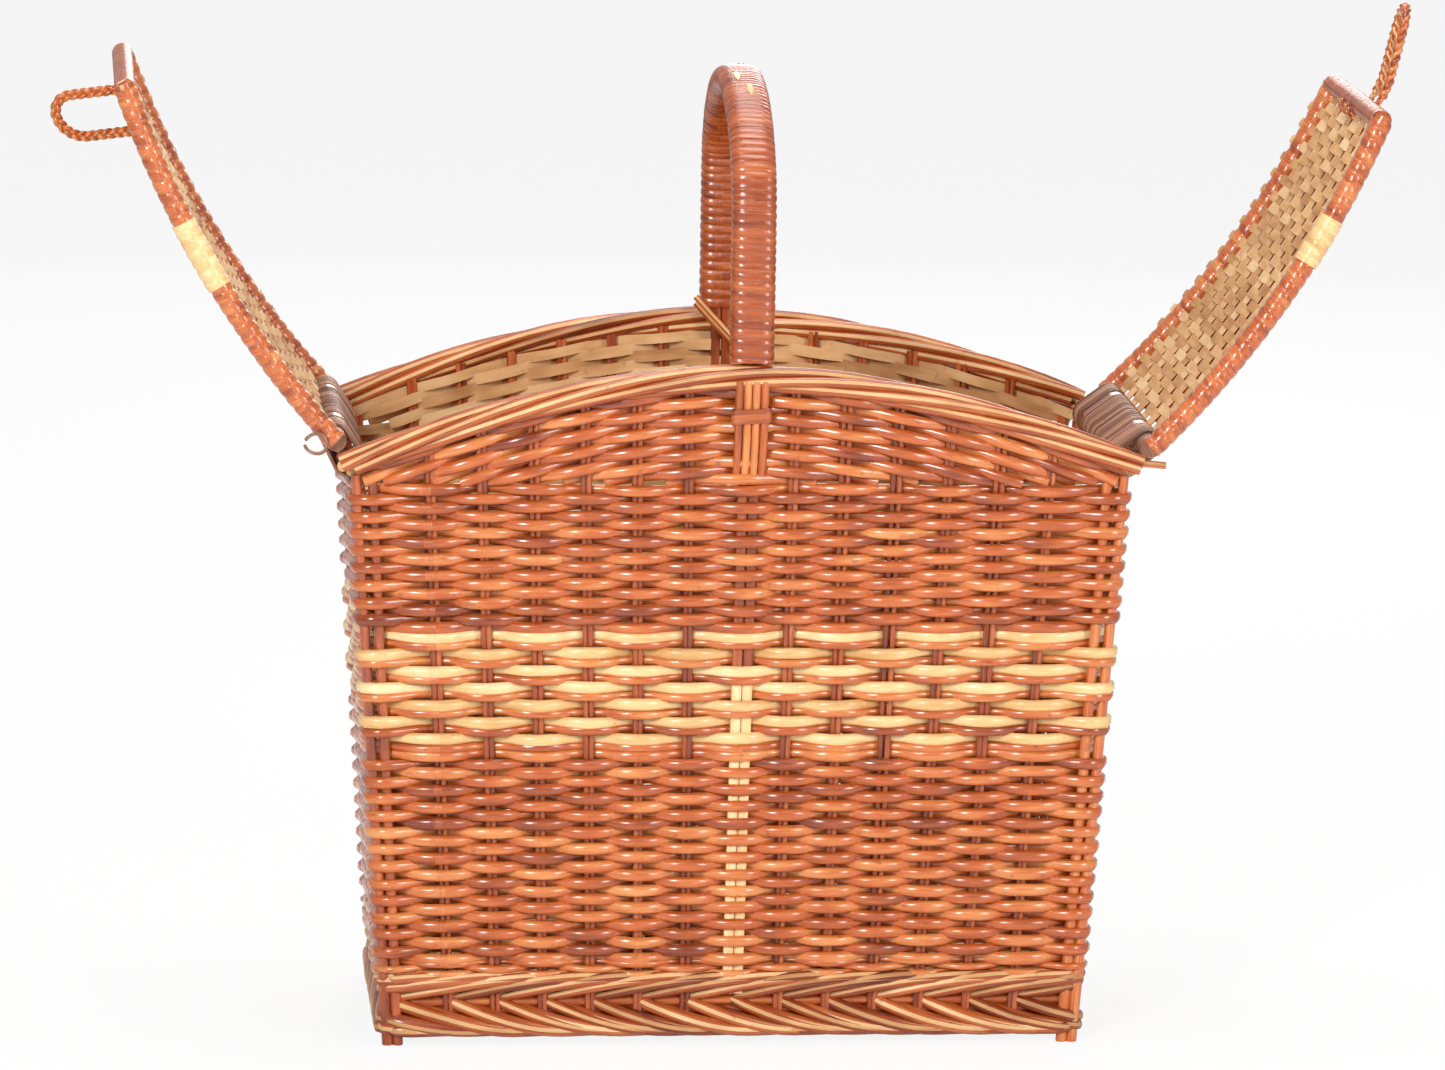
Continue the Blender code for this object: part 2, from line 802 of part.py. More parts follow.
def staple_loop(name, chord, material):
    """A plaited U that stands on the left lid and leans to its free end."""
    far = chord + LID_END_RAIL_RADIUS - STAPLE_FROM_END
    near = far - STAPLE_SPAN
    foot = LID_THICKNESS / 2 + FIT
    bend = STAPLE_SPAN / 2
    lean = Vector((math.sin(STAPLE_TILT), 0, math.cos(STAPLE_TILT)))
    rise = STAPLE_RISE - bend
    first = Vector((near, 0, lid_arc(chord, near) + foot + PLAIT_RADIUS * math.sin(STAPLE_TILT)))
    last = Vector((far, 0, lid_arc(chord, far) + foot + PLAIT_RADIUS * math.sin(STAPLE_TILT)))
    middle = (first + last) / 2 + lean * rise
    half = (last - first) / 2
    points = [first]
    turns = 8
    for i in range(turns + 1):
        angle = math.pi * i / turns
        points.append(middle - half * math.cos(angle) + lean * bend * math.sin(angle))
    points.append(last)
    return rod(name, points, PLAIT_RADIUS, 6, material)


def hasp_loop(name, material):
    """A plaited U with two eyes that turn on the free rail. The rail's centre is its origin."""
    half = HASP_SPAN / 2
    straight = HASP_LENGTH - PLAIT_RADIUS - half
    back = HASP_EYE_RADIUS / 2
    points = [Vector((-back, -half, HASP_OFFSET))]
    turns = 8
    for i in range(turns + 1):
        angle = math.pi * i / turns
        x = straight + half * math.sin(angle)
        points.append(Vector((x, -half * math.cos(angle), HASP_OFFSET)))
    points.append(Vector((-back, half, HASP_OFFSET)))
    hasp = rod(name, points, PLAIT_RADIUS, 6, material, Vector((0, 0, 1)))
    eyes = bmesh.new()
    for side in (-1, 1):
        eye_into(eyes, eye_reach(), side * half)
    boolean(hasp, helper(name + "_eyes", eyes), "UNION")
    return hasp


def eye_into(bm, reach, y):
    """A ring about the Y axis."""
    sides = 6
    rings = []
    for i in range(EYE_SIDES):
        angle = math.tau * i / EYE_SIDES
        out = Vector((math.cos(angle), 0, math.sin(angle)))
        outline = round_outline(0, 0, HASP_EYE_RADIUS, sides)
        ring = [bm.verts.new(out * (reach + a) + Vector((0, y + b, 0))) for a, b in outline]
        rings.append(ring)
    skin(bm, rings + rings[:1])


def hinge_ring(name, side_x, y, material):
    """A flat skein band about the end border and the lid's hinge rail."""
    border = Vector((side_x * (BORDER_WIDTH / 2 - END_BORDER_SETBACK), 0, END_BORDER_HEIGHT))
    out, height = hinge_place(side_x)
    axis = Vector((side_x * out, 0, height))
    towards = (axis - border).normalized()
    across = Vector((-towards.z, 0, towards.x))
    sides = 12
    bm = bmesh.new()
    loops = []
    for extra in (FIT, FIT + HINGE_RING_THICKNESS):
        for end in (-1, 1):
            loop = []
            for i in range(sides):
                angle = math.tau * (i + 0.5) / sides
                forward = math.cos(angle) > 0
                centre = axis if forward else border
                radius = (LID_END_RAIL_RADIUS if forward else END_BORDER_RADIUS) + extra
                radius = radius / math.cos(math.pi / sides)
                at = centre + (towards * math.cos(angle) + across * math.sin(angle)) * radius
                loop.append(bm.verts.new(at + Vector((0, y + end * HINGE_RING_WIDTH / 2, 0))))
            loops.append(loop)
    inner, outer = loops[:2], loops[2:]
    skin(bm, inner)
    skin(bm, outer)
    for a, b in zip(inner, outer):
        for i in range(sides):
            bm.faces.new((a[i - 1], a[i], b[i], b[i - 1]))
    return add_object(name, finish_mesh(bm, name, True), material)


def wrap_radius():
    """Outside of the peeled skein, at its corners."""
    return LID_RAIL_RADIUS + FIT / math.cos(math.pi / WRAP_SIDES) + CREAM_WRAP_THICKNESS


def cream_wrap(name, chord, side_y, stretch, material):
    """A stretch of peeled skein wound on a side rail."""
    points = lid_rail_points(chord, side_y, chord * stretch[0], chord * stretch[1], 3)
    turn = math.pi / WRAP_SIDES
    inside = round_outline(0, 0, wrap_radius() - CREAM_WRAP_THICKNESS, WRAP_SIDES, turn)
    outside = round_outline(0, 0, wrap_radius(), WRAP_SIDES, turn)
    return swept_sleeve(name, points, Vector((0, 1, 0)), outside, inside, material)


def lid_frame(word, side, brown, skein):
    """A lid's rails, with the hinge axis at the origin and the free end towards +X."""
    chord = lid_chord(side)
    pieces = []
    for end, side_y in (("front", side), ("back", -side)):
        points = lid_rail_points(chord, side_y, 0.0, chord, 8)
        pieces.append(rod(f"{word}_lid_{end}_rail", points, LID_RAIL_RADIUS, 8, brown))
    for end, along in (("hinge", 0.0), ("free", chord)):
        reach = lid_half_width(chord, along) - 2 * LID_RAIL_RADIUS - FIT
        points = [Vector((along, y, lid_arc(chord, along))) for y in (-reach, reach)]
        up = Vector((0, 0, 1))
        pieces.append(rod(f"{word}_lid_{end}_rail", points, LID_END_RAIL_RADIUS, 12, skein, up))
    return pieces


def lid_pivot(word, side, elevation):
    """An empty on the hinge axis. A lid's own +X points to its free end and its +Z out of the basket."""
    pivot = bpy.data.objects.new(f"{word}_lid_pivot", None)
    bpy.context.scene.collection.objects.link(pivot)
    opened = math.pi - elevation
    if side < 0:
        turn = Matrix.Rotation(-opened, 4, "Y")
    else:
        turn = Matrix.Rotation(opened, 4, "Y") @ Matrix.Rotation(math.pi, 4, "Z")
    out, height = hinge_place(side)
    pivot.matrix_world = Matrix.Translation((side * out, 0, height)) @ turn
    return pivot


def hasp_pivot(lid, chord):
    """An empty on the right lid's free rail, turned as the hasp lies."""
    pivot = bpy.data.objects.new("hasp_pivot", None)
    bpy.context.scene.collection.objects.link(pivot)
    pivot.parent = lid
    turn = Matrix.Rotation(-lid_end_slope(chord) + HASP_TILT, 4, "Y")
    pivot.matrix_local = Matrix.Translation((chord, 0, lid_arc(chord, chord))) @ turn
    return pivot


def lids(brown, pith, cream, skein):
    for word, side, elevation, stretch in (
        ("left", -1, LEFT_LID_ELEVATION, LEFT_CREAM_WRAP),
        ("right", 1, RIGHT_LID_ELEVATION, RIGHT_CREAM_WRAP),
    ):
        chord = lid_chord(side)
        pivot = lid_pivot(word, side, elevation)
        pieces = lid_frame(word, side, brown, skein)
        pieces.append(lid_panel(f"{word}_lid_panel", chord, side, stretch, pith))
        pieces.append(cream_wrap(f"{word}_lid_cream_wrap", chord, side, stretch, cream))
        if side < 0:
            pieces.append(staple_loop("left_lid_staple_loop", chord, brown))
        else:
            hasp = hasp_loop("right_lid_hasp_loop", brown)
            hasp.parent = hasp_pivot(pivot, chord)
        for piece in pieces:
            piece.parent = pivot
        for end, side_y in (("front", -1), ("back", 1)):
            hinge_ring(f"{word}_hinge_ring_{end}", side, side_y * HINGE_RING_Y, skein)


def build():
    clear_scene()
    brown = willow("stained_willow", WILLOW_BROWN, 0.35)
    dark = willow("dark_willow", WILLOW_DARK, 0.4)
    cream = willow("peeled_willow", WILLOW_CREAM, 0.4)
    pith = willow("willow_pith", WILLOW_PITH, 0.7)
    skein = willow("binding_skein", SKEIN_BROWN, 0.5)
    base(brown, pith)
    woven_walls(brown, cream)
    arched_border_and_stakes("front_border_and_stakes", -1, brown)
    arched_border_and_stakes("back_border_and_stakes", 1, brown)
    end_border_and_stakes("left_border_and_stakes", -1, brown)
    end_border_and_stakes("right_border_and_stakes", 1, brown)
    for front, side_y in (("front", -1), ("back", 1)):
        for end, side_x in (("left", -1), ("right", 1)):
            corner_post(f"corner_post_{front}_{end}", side_x, side_y, brown)
    handle_cores(cream)
    handle_wrap(brown)
    foot_rods("front_handle_rods", -1, brown)
    foot_rods("back_handle_rods", 1, brown)
    lashing("front_handle_lashing", -1, dark)
    lashing("back_handle_lashing", 1, dark)
    lids(brown, pith, cream, skein)
    bpy.context.view_layer.update()


build()
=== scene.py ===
import math
import random

import bmesh
import bpy
import numpy as np
from mathutils import Matrix, Vector


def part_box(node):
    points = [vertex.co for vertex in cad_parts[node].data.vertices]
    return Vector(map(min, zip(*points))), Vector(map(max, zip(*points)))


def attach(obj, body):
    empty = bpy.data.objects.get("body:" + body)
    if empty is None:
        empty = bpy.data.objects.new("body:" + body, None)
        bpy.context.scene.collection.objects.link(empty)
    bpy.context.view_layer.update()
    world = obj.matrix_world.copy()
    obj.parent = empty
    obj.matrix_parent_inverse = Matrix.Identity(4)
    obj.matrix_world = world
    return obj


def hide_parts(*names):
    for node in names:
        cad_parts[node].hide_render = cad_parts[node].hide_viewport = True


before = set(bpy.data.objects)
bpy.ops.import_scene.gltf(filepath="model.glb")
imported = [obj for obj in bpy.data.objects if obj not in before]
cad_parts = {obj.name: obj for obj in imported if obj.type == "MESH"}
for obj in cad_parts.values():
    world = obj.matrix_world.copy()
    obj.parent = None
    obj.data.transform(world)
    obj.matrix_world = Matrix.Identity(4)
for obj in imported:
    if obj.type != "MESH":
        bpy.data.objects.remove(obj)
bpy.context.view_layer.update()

# ---- Base ---------------------------------------------------------------------------------------
# The base is split willow woven across five round sticks. It lies inside the foot of the wall, and
# the ends of its sticks go through the foot border.


class Grain:
    """A value in a willow finish's nodes, which can be added, multiplied and so on."""

    def __init__(self, tree, socket=None):
        self.tree = tree
        self.socket = socket

    def node(self, kind, settings=None, values=None, output=0):
        made = self.tree.nodes.new("ShaderNode" + kind)
        for key, value in (settings or {}).items():
            if key == "stops":
                ramp = made.color_ramp.elements
                while len(ramp) < len(value):
                    ramp.new(0.5)
                for stop, (place, colour) in zip(ramp, value):
                    stop.position = place
                    stop.color = colour
            else:
                setattr(made, key, value)
        for key, value in (values or {}).items():
            if isinstance(value, Grain):
                self.tree.links.new(value.socket, made.inputs[key])
            else:
                made.inputs[key].default_value = value
        return Grain(self.tree, made.outputs[output])

    def sum(self, operation, first, second):
        return self.node("Math", {"operation": operation}, {0: first, 1: second})

    def __add__(self, other):
        return self.sum("ADD", self, other)

    __radd__ = __add__

    def __sub__(self, other):
        return self.sum("SUBTRACT", self, other)

    def __rsub__(self, other):
        return self.sum("SUBTRACT", other, self)

    def __mul__(self, other):
        return self.sum("MULTIPLY", self, other)

    __rmul__ = __mul__

    def into(self, socket):
        self.tree.links.new(self.socket, socket)


def stain(red, green, blue):
    return (*[(c / 255) ** 2.2 for c in (red, green, blue)], 1.0)


def willow(name, dark, middle, pale, roughness, coat, fibre_depth=0.35, spread=0.75):
    """Willow with long fibres, patches of stain along each rod, and every rod its own shade."""
    material = bpy.data.materials.new(name)
    material.use_nodes = True
    tree = material.node_tree
    shader = tree.nodes["Principled BSDF"]
    grain = Grain(tree)
    strand = grain.node("Attribute", {"attribute_name": "strand"}, output=1)
    along = grain.node("SeparateXYZ", values={0: strand}, output=0)
    around = grain.node("SeparateXYZ", values={0: strand}, output=1)
    shade = grain.node("SeparateXYZ", values={0: strand}, output=2)

    def noise(length, turns, seed, detail):
        at = grain.node(
            "CombineXYZ",
            values={0: along * (1 / length), 1: around * turns, 2: shade * seed},
        )
        return grain.node("TexNoise", values={"Vector": at, "Scale": 1.0, "Detail": detail})

    fibre = noise(0.018, 9.0, 91.0, 4.0)
    patch = noise(0.035, 1.3, 37.0, 2.0)
    tone = shade * spread + patch * 1.1 + (0.45 - spread / 2 - 0.5)
    colour = grain.node(
        "ValToRGB", {"stops": ((0.12, dark), (0.5, middle), (0.92, pale))}, {"Fac": tone + (fibre - 0.5) * 0.45}
    )
    speck = grain.node(
        "ValToRGB",
        {"stops": ((0.0, (0, 0, 0, 1)), (0.68, (0, 0, 0, 1)), (0.76, (1, 1, 1, 1)))},
        {"Fac": noise(0.006, 4.0, 53.0, 1.0)},
    )
    colour = grain.node(
        "Mix",
        {"data_type": "RGBA"},
        {0: speck * 0.45, 6: colour, 7: dark},
        output=2,
    )
    colour.into(shader.inputs["Base Color"])
    (fibre * 0.25 + (roughness - 0.125)).into(shader.inputs["Roughness"])
    shader.inputs["Coat Weight"].default_value = coat
    shader.inputs["Coat Roughness"].default_value = 0.16
    bump = grain.node(
        "Bump", values={"Strength": fibre_depth, "Distance": 0.0004, "Height": fibre}
    )
    bump.into(shader.inputs["Normal"])
    return material


BROWN = willow(
    "stained_willow", stain(122, 50, 18), stain(190, 94, 42), stain(222, 146, 84), 0.28, 0.6, spread=0.45
)
DEEP = willow(
    "dark_stained_willow", stain(92, 34, 10), stain(158, 72, 30), stain(198, 112, 60), 0.3, 0.5, spread=0.45
)
PITH = willow(
    "willow_pith", stain(166, 112, 66), stain(206, 158, 106), stain(228, 192, 144), 0.7, 0.0, 0.5, 0.5
)
CREAM = willow(
    "peeled_willow", stain(204, 150, 88), stain(232, 190, 130), stain(246, 218, 168), 0.38, 0.35, spread=0.5
)
SKEIN = willow(
    "binding_skein", stain(92, 60, 44), stain(142, 98, 76), stain(180, 132, 104), 0.45, 0.2
)


def round_rod(radius, sides):
    return [
        (radius * math.cos(math.tau * i / sides), radius * math.sin(math.tau * i / sides))
        for i in range(sides)
    ]


def split_rod(height, thickness):
    """Half a rod: its flat pith side comes first, and the skin bulges to +x."""
    half = height / 2
    flat = -0.35 * thickness
    return [
        (flat, -half),
        (flat, half),
        (0.3 * thickness, 0.9 * half),
        (0.65 * thickness, 0.45 * half),
        (0.65 * thickness, -0.45 * half),
        (0.3 * thickness, -0.9 * half),
    ]


def swept(name, runs, outline, closed, twist):
    """The outline swept along each run of (x, y, z, size), as Blender's bevelled curve makes it."""
    former = bpy.data.curves.new(name + "_former", "CURVE")
    former.dimensions = "2D"
    edge = former.splines.new("POLY")
    edge.points.add(len(outline) - 1)
    edge.points.foreach_set("co", [c for x, y in outline for c in (x, y, 0, 1)])
    edge.use_cyclic_u = True
    guide = bpy.data.curves.new(name + "_guide", "CURVE")
    guide.dimensions = "3D"
    guide.twist_mode = twist
    guide.bevel_mode = "OBJECT"
    guide.bevel_object = bpy.data.objects.new(name + "_former", former)
    for run in runs:
        line = guide.splines.new("POLY")
        line.points.add(len(run) - 1)
        line.points.foreach_set("co", [c for p in run for c in (p[0], p[1], p[2], 1)])
        line.points.foreach_set("radius", [p[3] for p in run])
        line.use_cyclic_u = closed
    holder = bpy.data.objects.new(name + "_guide", guide)
    scene = bpy.context.scene.collection
    scene.objects.link(holder)
    scene.objects.link(guide.bevel_object)
    graph = bpy.context.evaluated_depsgraph_get()
    mesh = bpy.data.meshes.new_from_object(holder.evaluated_get(graph))
    bpy.data.objects.remove(guide.bevel_object)
    bpy.data.objects.remove(holder)
    return mesh


def wind(mesh, run, sides, turns, depth, shades):
    """Presses a spiral groove into a swept bar, so that it reads as turns of skein side by side."""
    count = len(run) * sides
    places = np.empty(count * 3)
    mesh.vertices.foreach_get("co", places)
    places = places.reshape(-1, 3)
    middle = np.repeat(np.array([p[:3] for p in run]), sides, axis=0)
    around = np.tile(np.arange(sides) / sides, len(run))
    phase = np.repeat(np.array(turns), sides) - around
    across = phase % 1.0
    out = places - middle
    length = np.linalg.norm(out, axis=1, keepdims=True)
    groove = depth * np.abs(2 * across - 1) ** 3
    lift = depth * 0.5 * (shades[np.floor(phase).astype(int) % len(shades)] - 0.5)
    places += out / np.maximum(length, 1e-9) * (lift - groove)[:, None]
    mesh.vertices.foreach_set("co", places.ravel())
    number = np.floor(phase)
    return np.stack([around * 0.06 + number * 0.37, across, shades[number.astype(int) % len(shades)]], 1)


def lay(name, runs, outline, finishes, body, nodes=(), closed=False, twist="Z_UP", place=None, turns=None, depth=0.0006):
    """Lays rods or skeins of one outline along their runs as one piece, which stands for nodes.
    The second finish, where there is one, goes on the flat side and on cut ends. With turns, the
    piece is one bar wound with skein."""
    chance = random.Random(name)
    sides = len(outline)
    mesh = swept(name, runs, outline, closed, twist)
    marks = []
    for run in runs:
        places = np.array([p[:3] for p in run])
        step = np.linalg.norm(np.diff(places, axis=0), axis=1)
        along = np.concatenate([[0.0], np.cumsum(step)]) + chance.random() * 3
        around = np.arange(sides) / sides
        shade = chance.random()
        grid = np.empty((len(run), sides, 3))
        grid[:, :, 0] = along[:, None]
        grid[:, :, 1] = around[None, :]
        grid[:, :, 2] = shade
        marks.append(grid.reshape(-1, 3))
    marks = np.concatenate(marks)
    if turns is not None:
        shades = np.array([0.3 + 0.4 * chance.random() for _ in range(509)])
        marks = wind(mesh, runs[0], sides, turns, depth, shades)
    strand = mesh.attributes.new("strand", "FLOAT_VECTOR", "POINT")
    strand.data.foreach_set("vector", marks.astype(np.float32).ravel())
    bm = bmesh.new()
    bm.from_mesh(mesh)
    bm.faces.ensure_lookup_table()
    for face in bm.faces:
        face.smooth = True
        face.material_index = 0
    if len(finishes) > 1:
        for face in bm.faces:
            face.material_index = int(sum(v.index % sides > 1 for v in face.verts) == 0)
    if not closed:
        rims = [e for e in bm.edges if e.is_boundary]
        for face in bmesh.ops.holes_fill(bm, edges=rims, sides=0)["faces"]:
            face.material_index = len(finishes) - 1
    if place is not None:
        bmesh.ops.transform(bm, matrix=place, verts=bm.verts)
    bmesh.ops.recalc_face_normals(bm, faces=bm.faces)
    mesh.materials.clear()
    for finish in finishes:
        mesh.materials.append(finish)
    bm.to_mesh(mesh)
    bm.free()
    mesh.set_sharp_from_angle(angle=math.radians(60))
    piece = bpy.data.objects.new(name, mesh)
    bpy.context.scene.collection.objects.link(piece)
    if nodes:
        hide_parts(*nodes)
    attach(piece, body)
    return piece


STICKS = [f"base_stick_{n}" for n in range(1, 6)]
BASE_PITCH = 0.0046
stick_rows = [(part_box(node)[0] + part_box(node)[1]) / 2 for node in STICKS]
stick_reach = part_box(STICKS[0])[1].x
for node, middle in zip(STICKS, stick_rows):
    line = [(stick_reach * i / 5, middle.y, middle.z, 1.0) for i in range(-5, 6)]
    lay(
        node + "_rod",
        [line],
        round_rod(0.0025, 10),
        [BROWN],
        "basket",
        [node],
        twist="MINIMUM",
    )
base_low, base_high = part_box("base_weave")
courses = []
for n in range(int(2 * base_high.x / BASE_PITCH)):
    x = base_low.x + BASE_PITCH * (n + 0.5)
    course = []
    for i in range(25):
        y = base_high.y * (i / 12 - 1)
        wave = math.cos(math.pi * (i / 4 + n))
        course.append((x, y, stick_rows[0].z + 0.0012 + 0.0034 * wave, 1.0))
    courses.append(course)
flat_strip = [(-0.0022, -0.0006), (0.0022, -0.0006), (0.0016, 0.0006), (-0.0016, 0.0006)]
lay("base_woven_courses", courses, flat_strip, [PITH], "basket", ["base_weave"])

# ---- Stakes and corner posts --------------------------------------------------------------------
# Two thin round rods side by side make each stake, and two thicker ones each corner post, whose
# butts stand a few millimetres below the foot border. They lean out with the walls.

WALL = 0.011
POST_INSET = 0.0048
BAYS = 7
END_BAYS = 3
BORDER_CORNER = 0.294
ARCH_POWER = 1.8
low_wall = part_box("left_lower_weave")
low_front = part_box("front_lower_weave")
high_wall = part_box("left_upper_weave")
high_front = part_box("front_upper_weave")
border_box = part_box("front_border_and_stakes")
BORDER_HALF = border_box[1].x
CROWN = border_box[1].z - 0.007
WALE_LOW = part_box("upsett_wale")[0].z
WALE_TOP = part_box("upsett_wale")[1].z
LOWER_TOP = low_wall[1].z
CREAM_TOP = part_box("left_cream_band")[1].z
RIM = high_wall[1].z


def between(z, low_z, low, high_z, high):
    return low + (high - low) * (z - low_z) / (high_z - low_z)


def half_width(z):
    return between(z, LOWER_TOP, -low_wall[0].x, RIM, -high_wall[0].x)


def half_depth(z):
    return between(z, LOWER_TOP, -low_front[0].y, RIM, -high_front[0].y)


def arch(x):
    return BORDER_CORNER + (CROWN - BORDER_CORNER) * (1 - (abs(x) / BORDER_HALF) ** ARCH_POWER)


def post_pitch(z):
    return 0.005 + 0.003 * min(1.0, z / RIM)


def stake_x(k, z):
    return k / BAYS * (half_width(z) - POST_INSET - post_pitch(z) - 0.0027)


def stake_y(k, z):
    return k / END_BAYS * (half_depth(z) - POST_INSET - 0.0025)


def handle_x(z):
    return 0.004 * min(1.0, z / CROWN)


sway = random.Random(4)
rods = {"front": [], "back": [], "left": [], "right": []}
for word, side in (("front", -1), ("back", 1)):
    for k in range(1 - BAYS, BAYS):
        if k == 0:
            continue
        for twin in (-1, 1):
            top = arch(stake_x(k, RIM)) - 0.002
            lean = sway.uniform(-0.0006, 0.0006)
            line = []
            for i in range(9):
                z = 0.014 + (top - 0.014) * i / 8
                x = stake_x(k, z) + twin * 0.00125 + lean * math.sin(3 * i / 8 + k)
                line.append((x, side * (half_depth(z) - WALL / 2), z, sway.uniform(0.92, 1.06)))
            rods[word].append(line)
for word, side in (("left", -1), ("right", 1)):
    for k in range(1 - END_BAYS, END_BAYS):
        for twin in (-1, 1):
            line = []
            for i in range(9):
                z = 0.014 + (0.294 - 0.014) * i / 8
                y = stake_y(k, z) + twin * 0.00125
                line.append((side * (half_width(z) - WALL / 2), y, z, sway.uniform(0.92, 1.06)))
            rods[word].append(line)
for word, lines in rods.items():
    lay(
        word + "_stakes",
        lines,
        round_rod(0.00155, 8),
        [DEEP],
        "basket",
        twist="MINIMUM",
    )
for end_y, side_y in (("front", -1), ("back", 1)):
    for end_x, side_x in (("left", -1), ("right", 1)):
        pair = []
        for number in range(2):
            line = []
            for i in range(13):
                z = 0.2915 * i / 12
                x = side_x * (half_width(z) - POST_INSET - number * post_pitch(z))
                y = side_y * (half_depth(z) - POST_INSET)
                line.append((x, y, z, 1.18 - 0.2 * i / 12 if i else 1.08))
            pair.append(line)
        name = f"corner_post_{end_y}_{end_x}"
        lay(
            name + "_rods",
            pair,
            round_rod(0.00255, 12),
            [BROWN],
            "basket",
            [name],
            twist="MINIMUM",
        )

# ---- Woven walls --------------------------------------------------------------------------------
# Split willow goes over one stake and under the next, skin outwards and pith inwards. Peeled
# strips make the pale band half way up, each over a thin brown rod.

PER_BAY = 8
CORNER = 0.003
ROW_PITCH = 0.00436


def stake_places(z):
    """How far round the wall each stake stands, and the whole way round, from the front's left."""
    long = half_width(z) - WALL / 2 - CORNER
    short = half_depth(z) - WALL / 2 - CORNER
    arc = CORNER * math.pi / 2
    front = [long + (stake_x(k, z) if k else handle_x(z)) for k in range(1 - BAYS, BAYS)]
    back = [long - (stake_x(k, z) if k else handle_x(z)) for k in range(BAYS - 1, -BAYS, -1)]
    ends = [short + stake_y(k, z) for k in range(1 - END_BAYS, END_BAYS)]
    places, start = [], 0.0
    for stakes, length in ((front, 2 * long), (ends, 2 * short), (back, 2 * long), (ends, 2 * short)):
        places += [start + s for s in stakes]
        start += length
        places.append(start + arc / 2)
        start += arc
    return places, start


def wall_point(place, out, z):
    """The point that lies out from the wall's middle, that far round."""
    long = half_width(z) - WALL / 2 - CORNER
    short = half_depth(z) - WALL / 2 - CORNER
    for number, (length, ahead) in enumerate(((2 * long, long), (2 * short, short)) * 2):
        direction = Matrix.Rotation(math.pi / 2 * number, 2)
        corner = (short, long)[number % 2]
        if place <= length:
            return direction @ Vector((place - ahead, -corner - CORNER - out))
        place -= length
        arc = CORNER * math.pi / 2
        if place <= arc:
            turn = place / CORNER
            swing = Vector((math.sin(turn), -math.cos(turn))) * (CORNER + out)
            return direction @ (Vector((ahead, -corner)) + swing)
        place -= arc
    return wall_point(0.0, out, z)


def near_corner(bay):
    """1 at a corner post, falling to 0 at the stakes beside it: the weave swings wider there."""
    long, short = 2 * BAYS - 1, 2 * END_BAYS - 1
    corners = (-1, long, long + short + 1, 2 * long + short + 2, 2 * (long + short) + 3)
    return max(0.0, 1.0 - min(abs(bay - c) for c in corners))


def course(z, parity, reach, chance, swell=0.1):
    """One row right round the wall, out over one stake and in behind the next."""
    places, whole = stake_places(z)
    places = places + [whole + places[0]]
    count = len(places) - 1
    drift = [chance.uniform(-0.0006, 0.0006) for _ in range(count)]
    fat = [chance.uniform(0.93, 1.09) for _ in range(count)]
    run = []
    for bay in range(count):
        for i in range(PER_BAY):
            part = i / PER_BAY
            place = places[bay] + (places[bay + 1] - places[bay]) * part
            wave = math.cos(math.pi * (bay + part + parity))
            wave = math.copysign(abs(wave) ** 0.8, wave)
            at = wall_point(place % whole, reach * wave * (1 + 0.45 * near_corner(bay + part)), z)
            lift = drift[bay] * (1 - part) + drift[(bay + 1) % count] * part
            size = fat[bay] * (1 - part) + fat[(bay + 1) % count] * part
            run.append((at.x, at.y, z + lift, size + swell * wave))
    return run


def every_wall(band):
    return [f"{wall}_{band}" for wall in ("front", "back", "left", "right")]


chance = random.Random(11)
for band, low, high in (("lower_weave", WALE_TOP, LOWER_TOP), ("upper_weave", CREAM_TOP, RIM)):
    rows = round((high - low) / ROW_PITCH)
    runs = [
        course(low + (high - low) * (n + 0.5) / rows, n % 2, 0.0034, chance) for n in range(rows)
    ]
    lay(
        band + "_courses",
        runs,
        split_rod(0.0053, 0.0027),
        [BROWN, PITH],
        "basket",
        every_wall(band),
        closed=True,
    )

PALE_COURSES = 7
pale_pitch = (CREAM_TOP - LOWER_TOP) / PALE_COURSES
strips, thin_rods = [], []
for n in range(PALE_COURSES):
    z = LOWER_TOP + pale_pitch * n
    thin_rods.append(course(z + 0.22 * pale_pitch, n % 2, 0.0034, chance, 0.08))
    strips.append(course(z + 0.72 * pale_pitch, n % 2, 0.0037, chance, 0.10))
lay(
    "cream_band_strips",
    strips,
    split_rod(0.0054, 0.0024),
    [CREAM, PITH],
    "basket",
    every_wall("cream_band"),
    closed=True,
)
lay(
    "cream_band_rods",
    thin_rods,
    split_rod(0.0044, 0.0027),
    [BROWN, PITH],
    "basket",
    closed=True,
)

for word, side in (("front", -1), ("back", 1)):
    runs = []
    for n in range(12):
        run = []
        chance_size = chance.uniform(0.92, 1.08)
        for i in range(-BAYS * PER_BAY, BAYS * PER_BAY + 1):
            bay = i / PER_BAY
            x = bay / BAYS * (half_width(RIM) - POST_INSET)
            z = arch(x) - 0.0055 - ROW_PITCH * (n + 0.5)
            if z < RIM + 0.0012:
                continue
            wave = math.cos(math.pi * (bay + n)) * 0.0034
            y = half_depth(z) - WALL / 2 + wave
            pinch = min(1.0, 0.6 + (z - RIM) / 0.006)
            run.append((side * -x, side * y, z, chance_size * pinch))
        if len(run) > 2 * PER_BAY:
            runs.append(run)
    lay(
        word + "_crown_courses",
        runs,
        split_rod(0.0056, 0.0027),
        [BROWN, PITH],
        "basket",
        [word + "_crown_weave"],
    )

# ---- Wale and foot border -----------------------------------------------------------------------
# At the foot, a wale of strong rods rises past the stakes, two rows of strokes. Below it the ends
# of the stakes are laid along the foot as thick slanting rods.


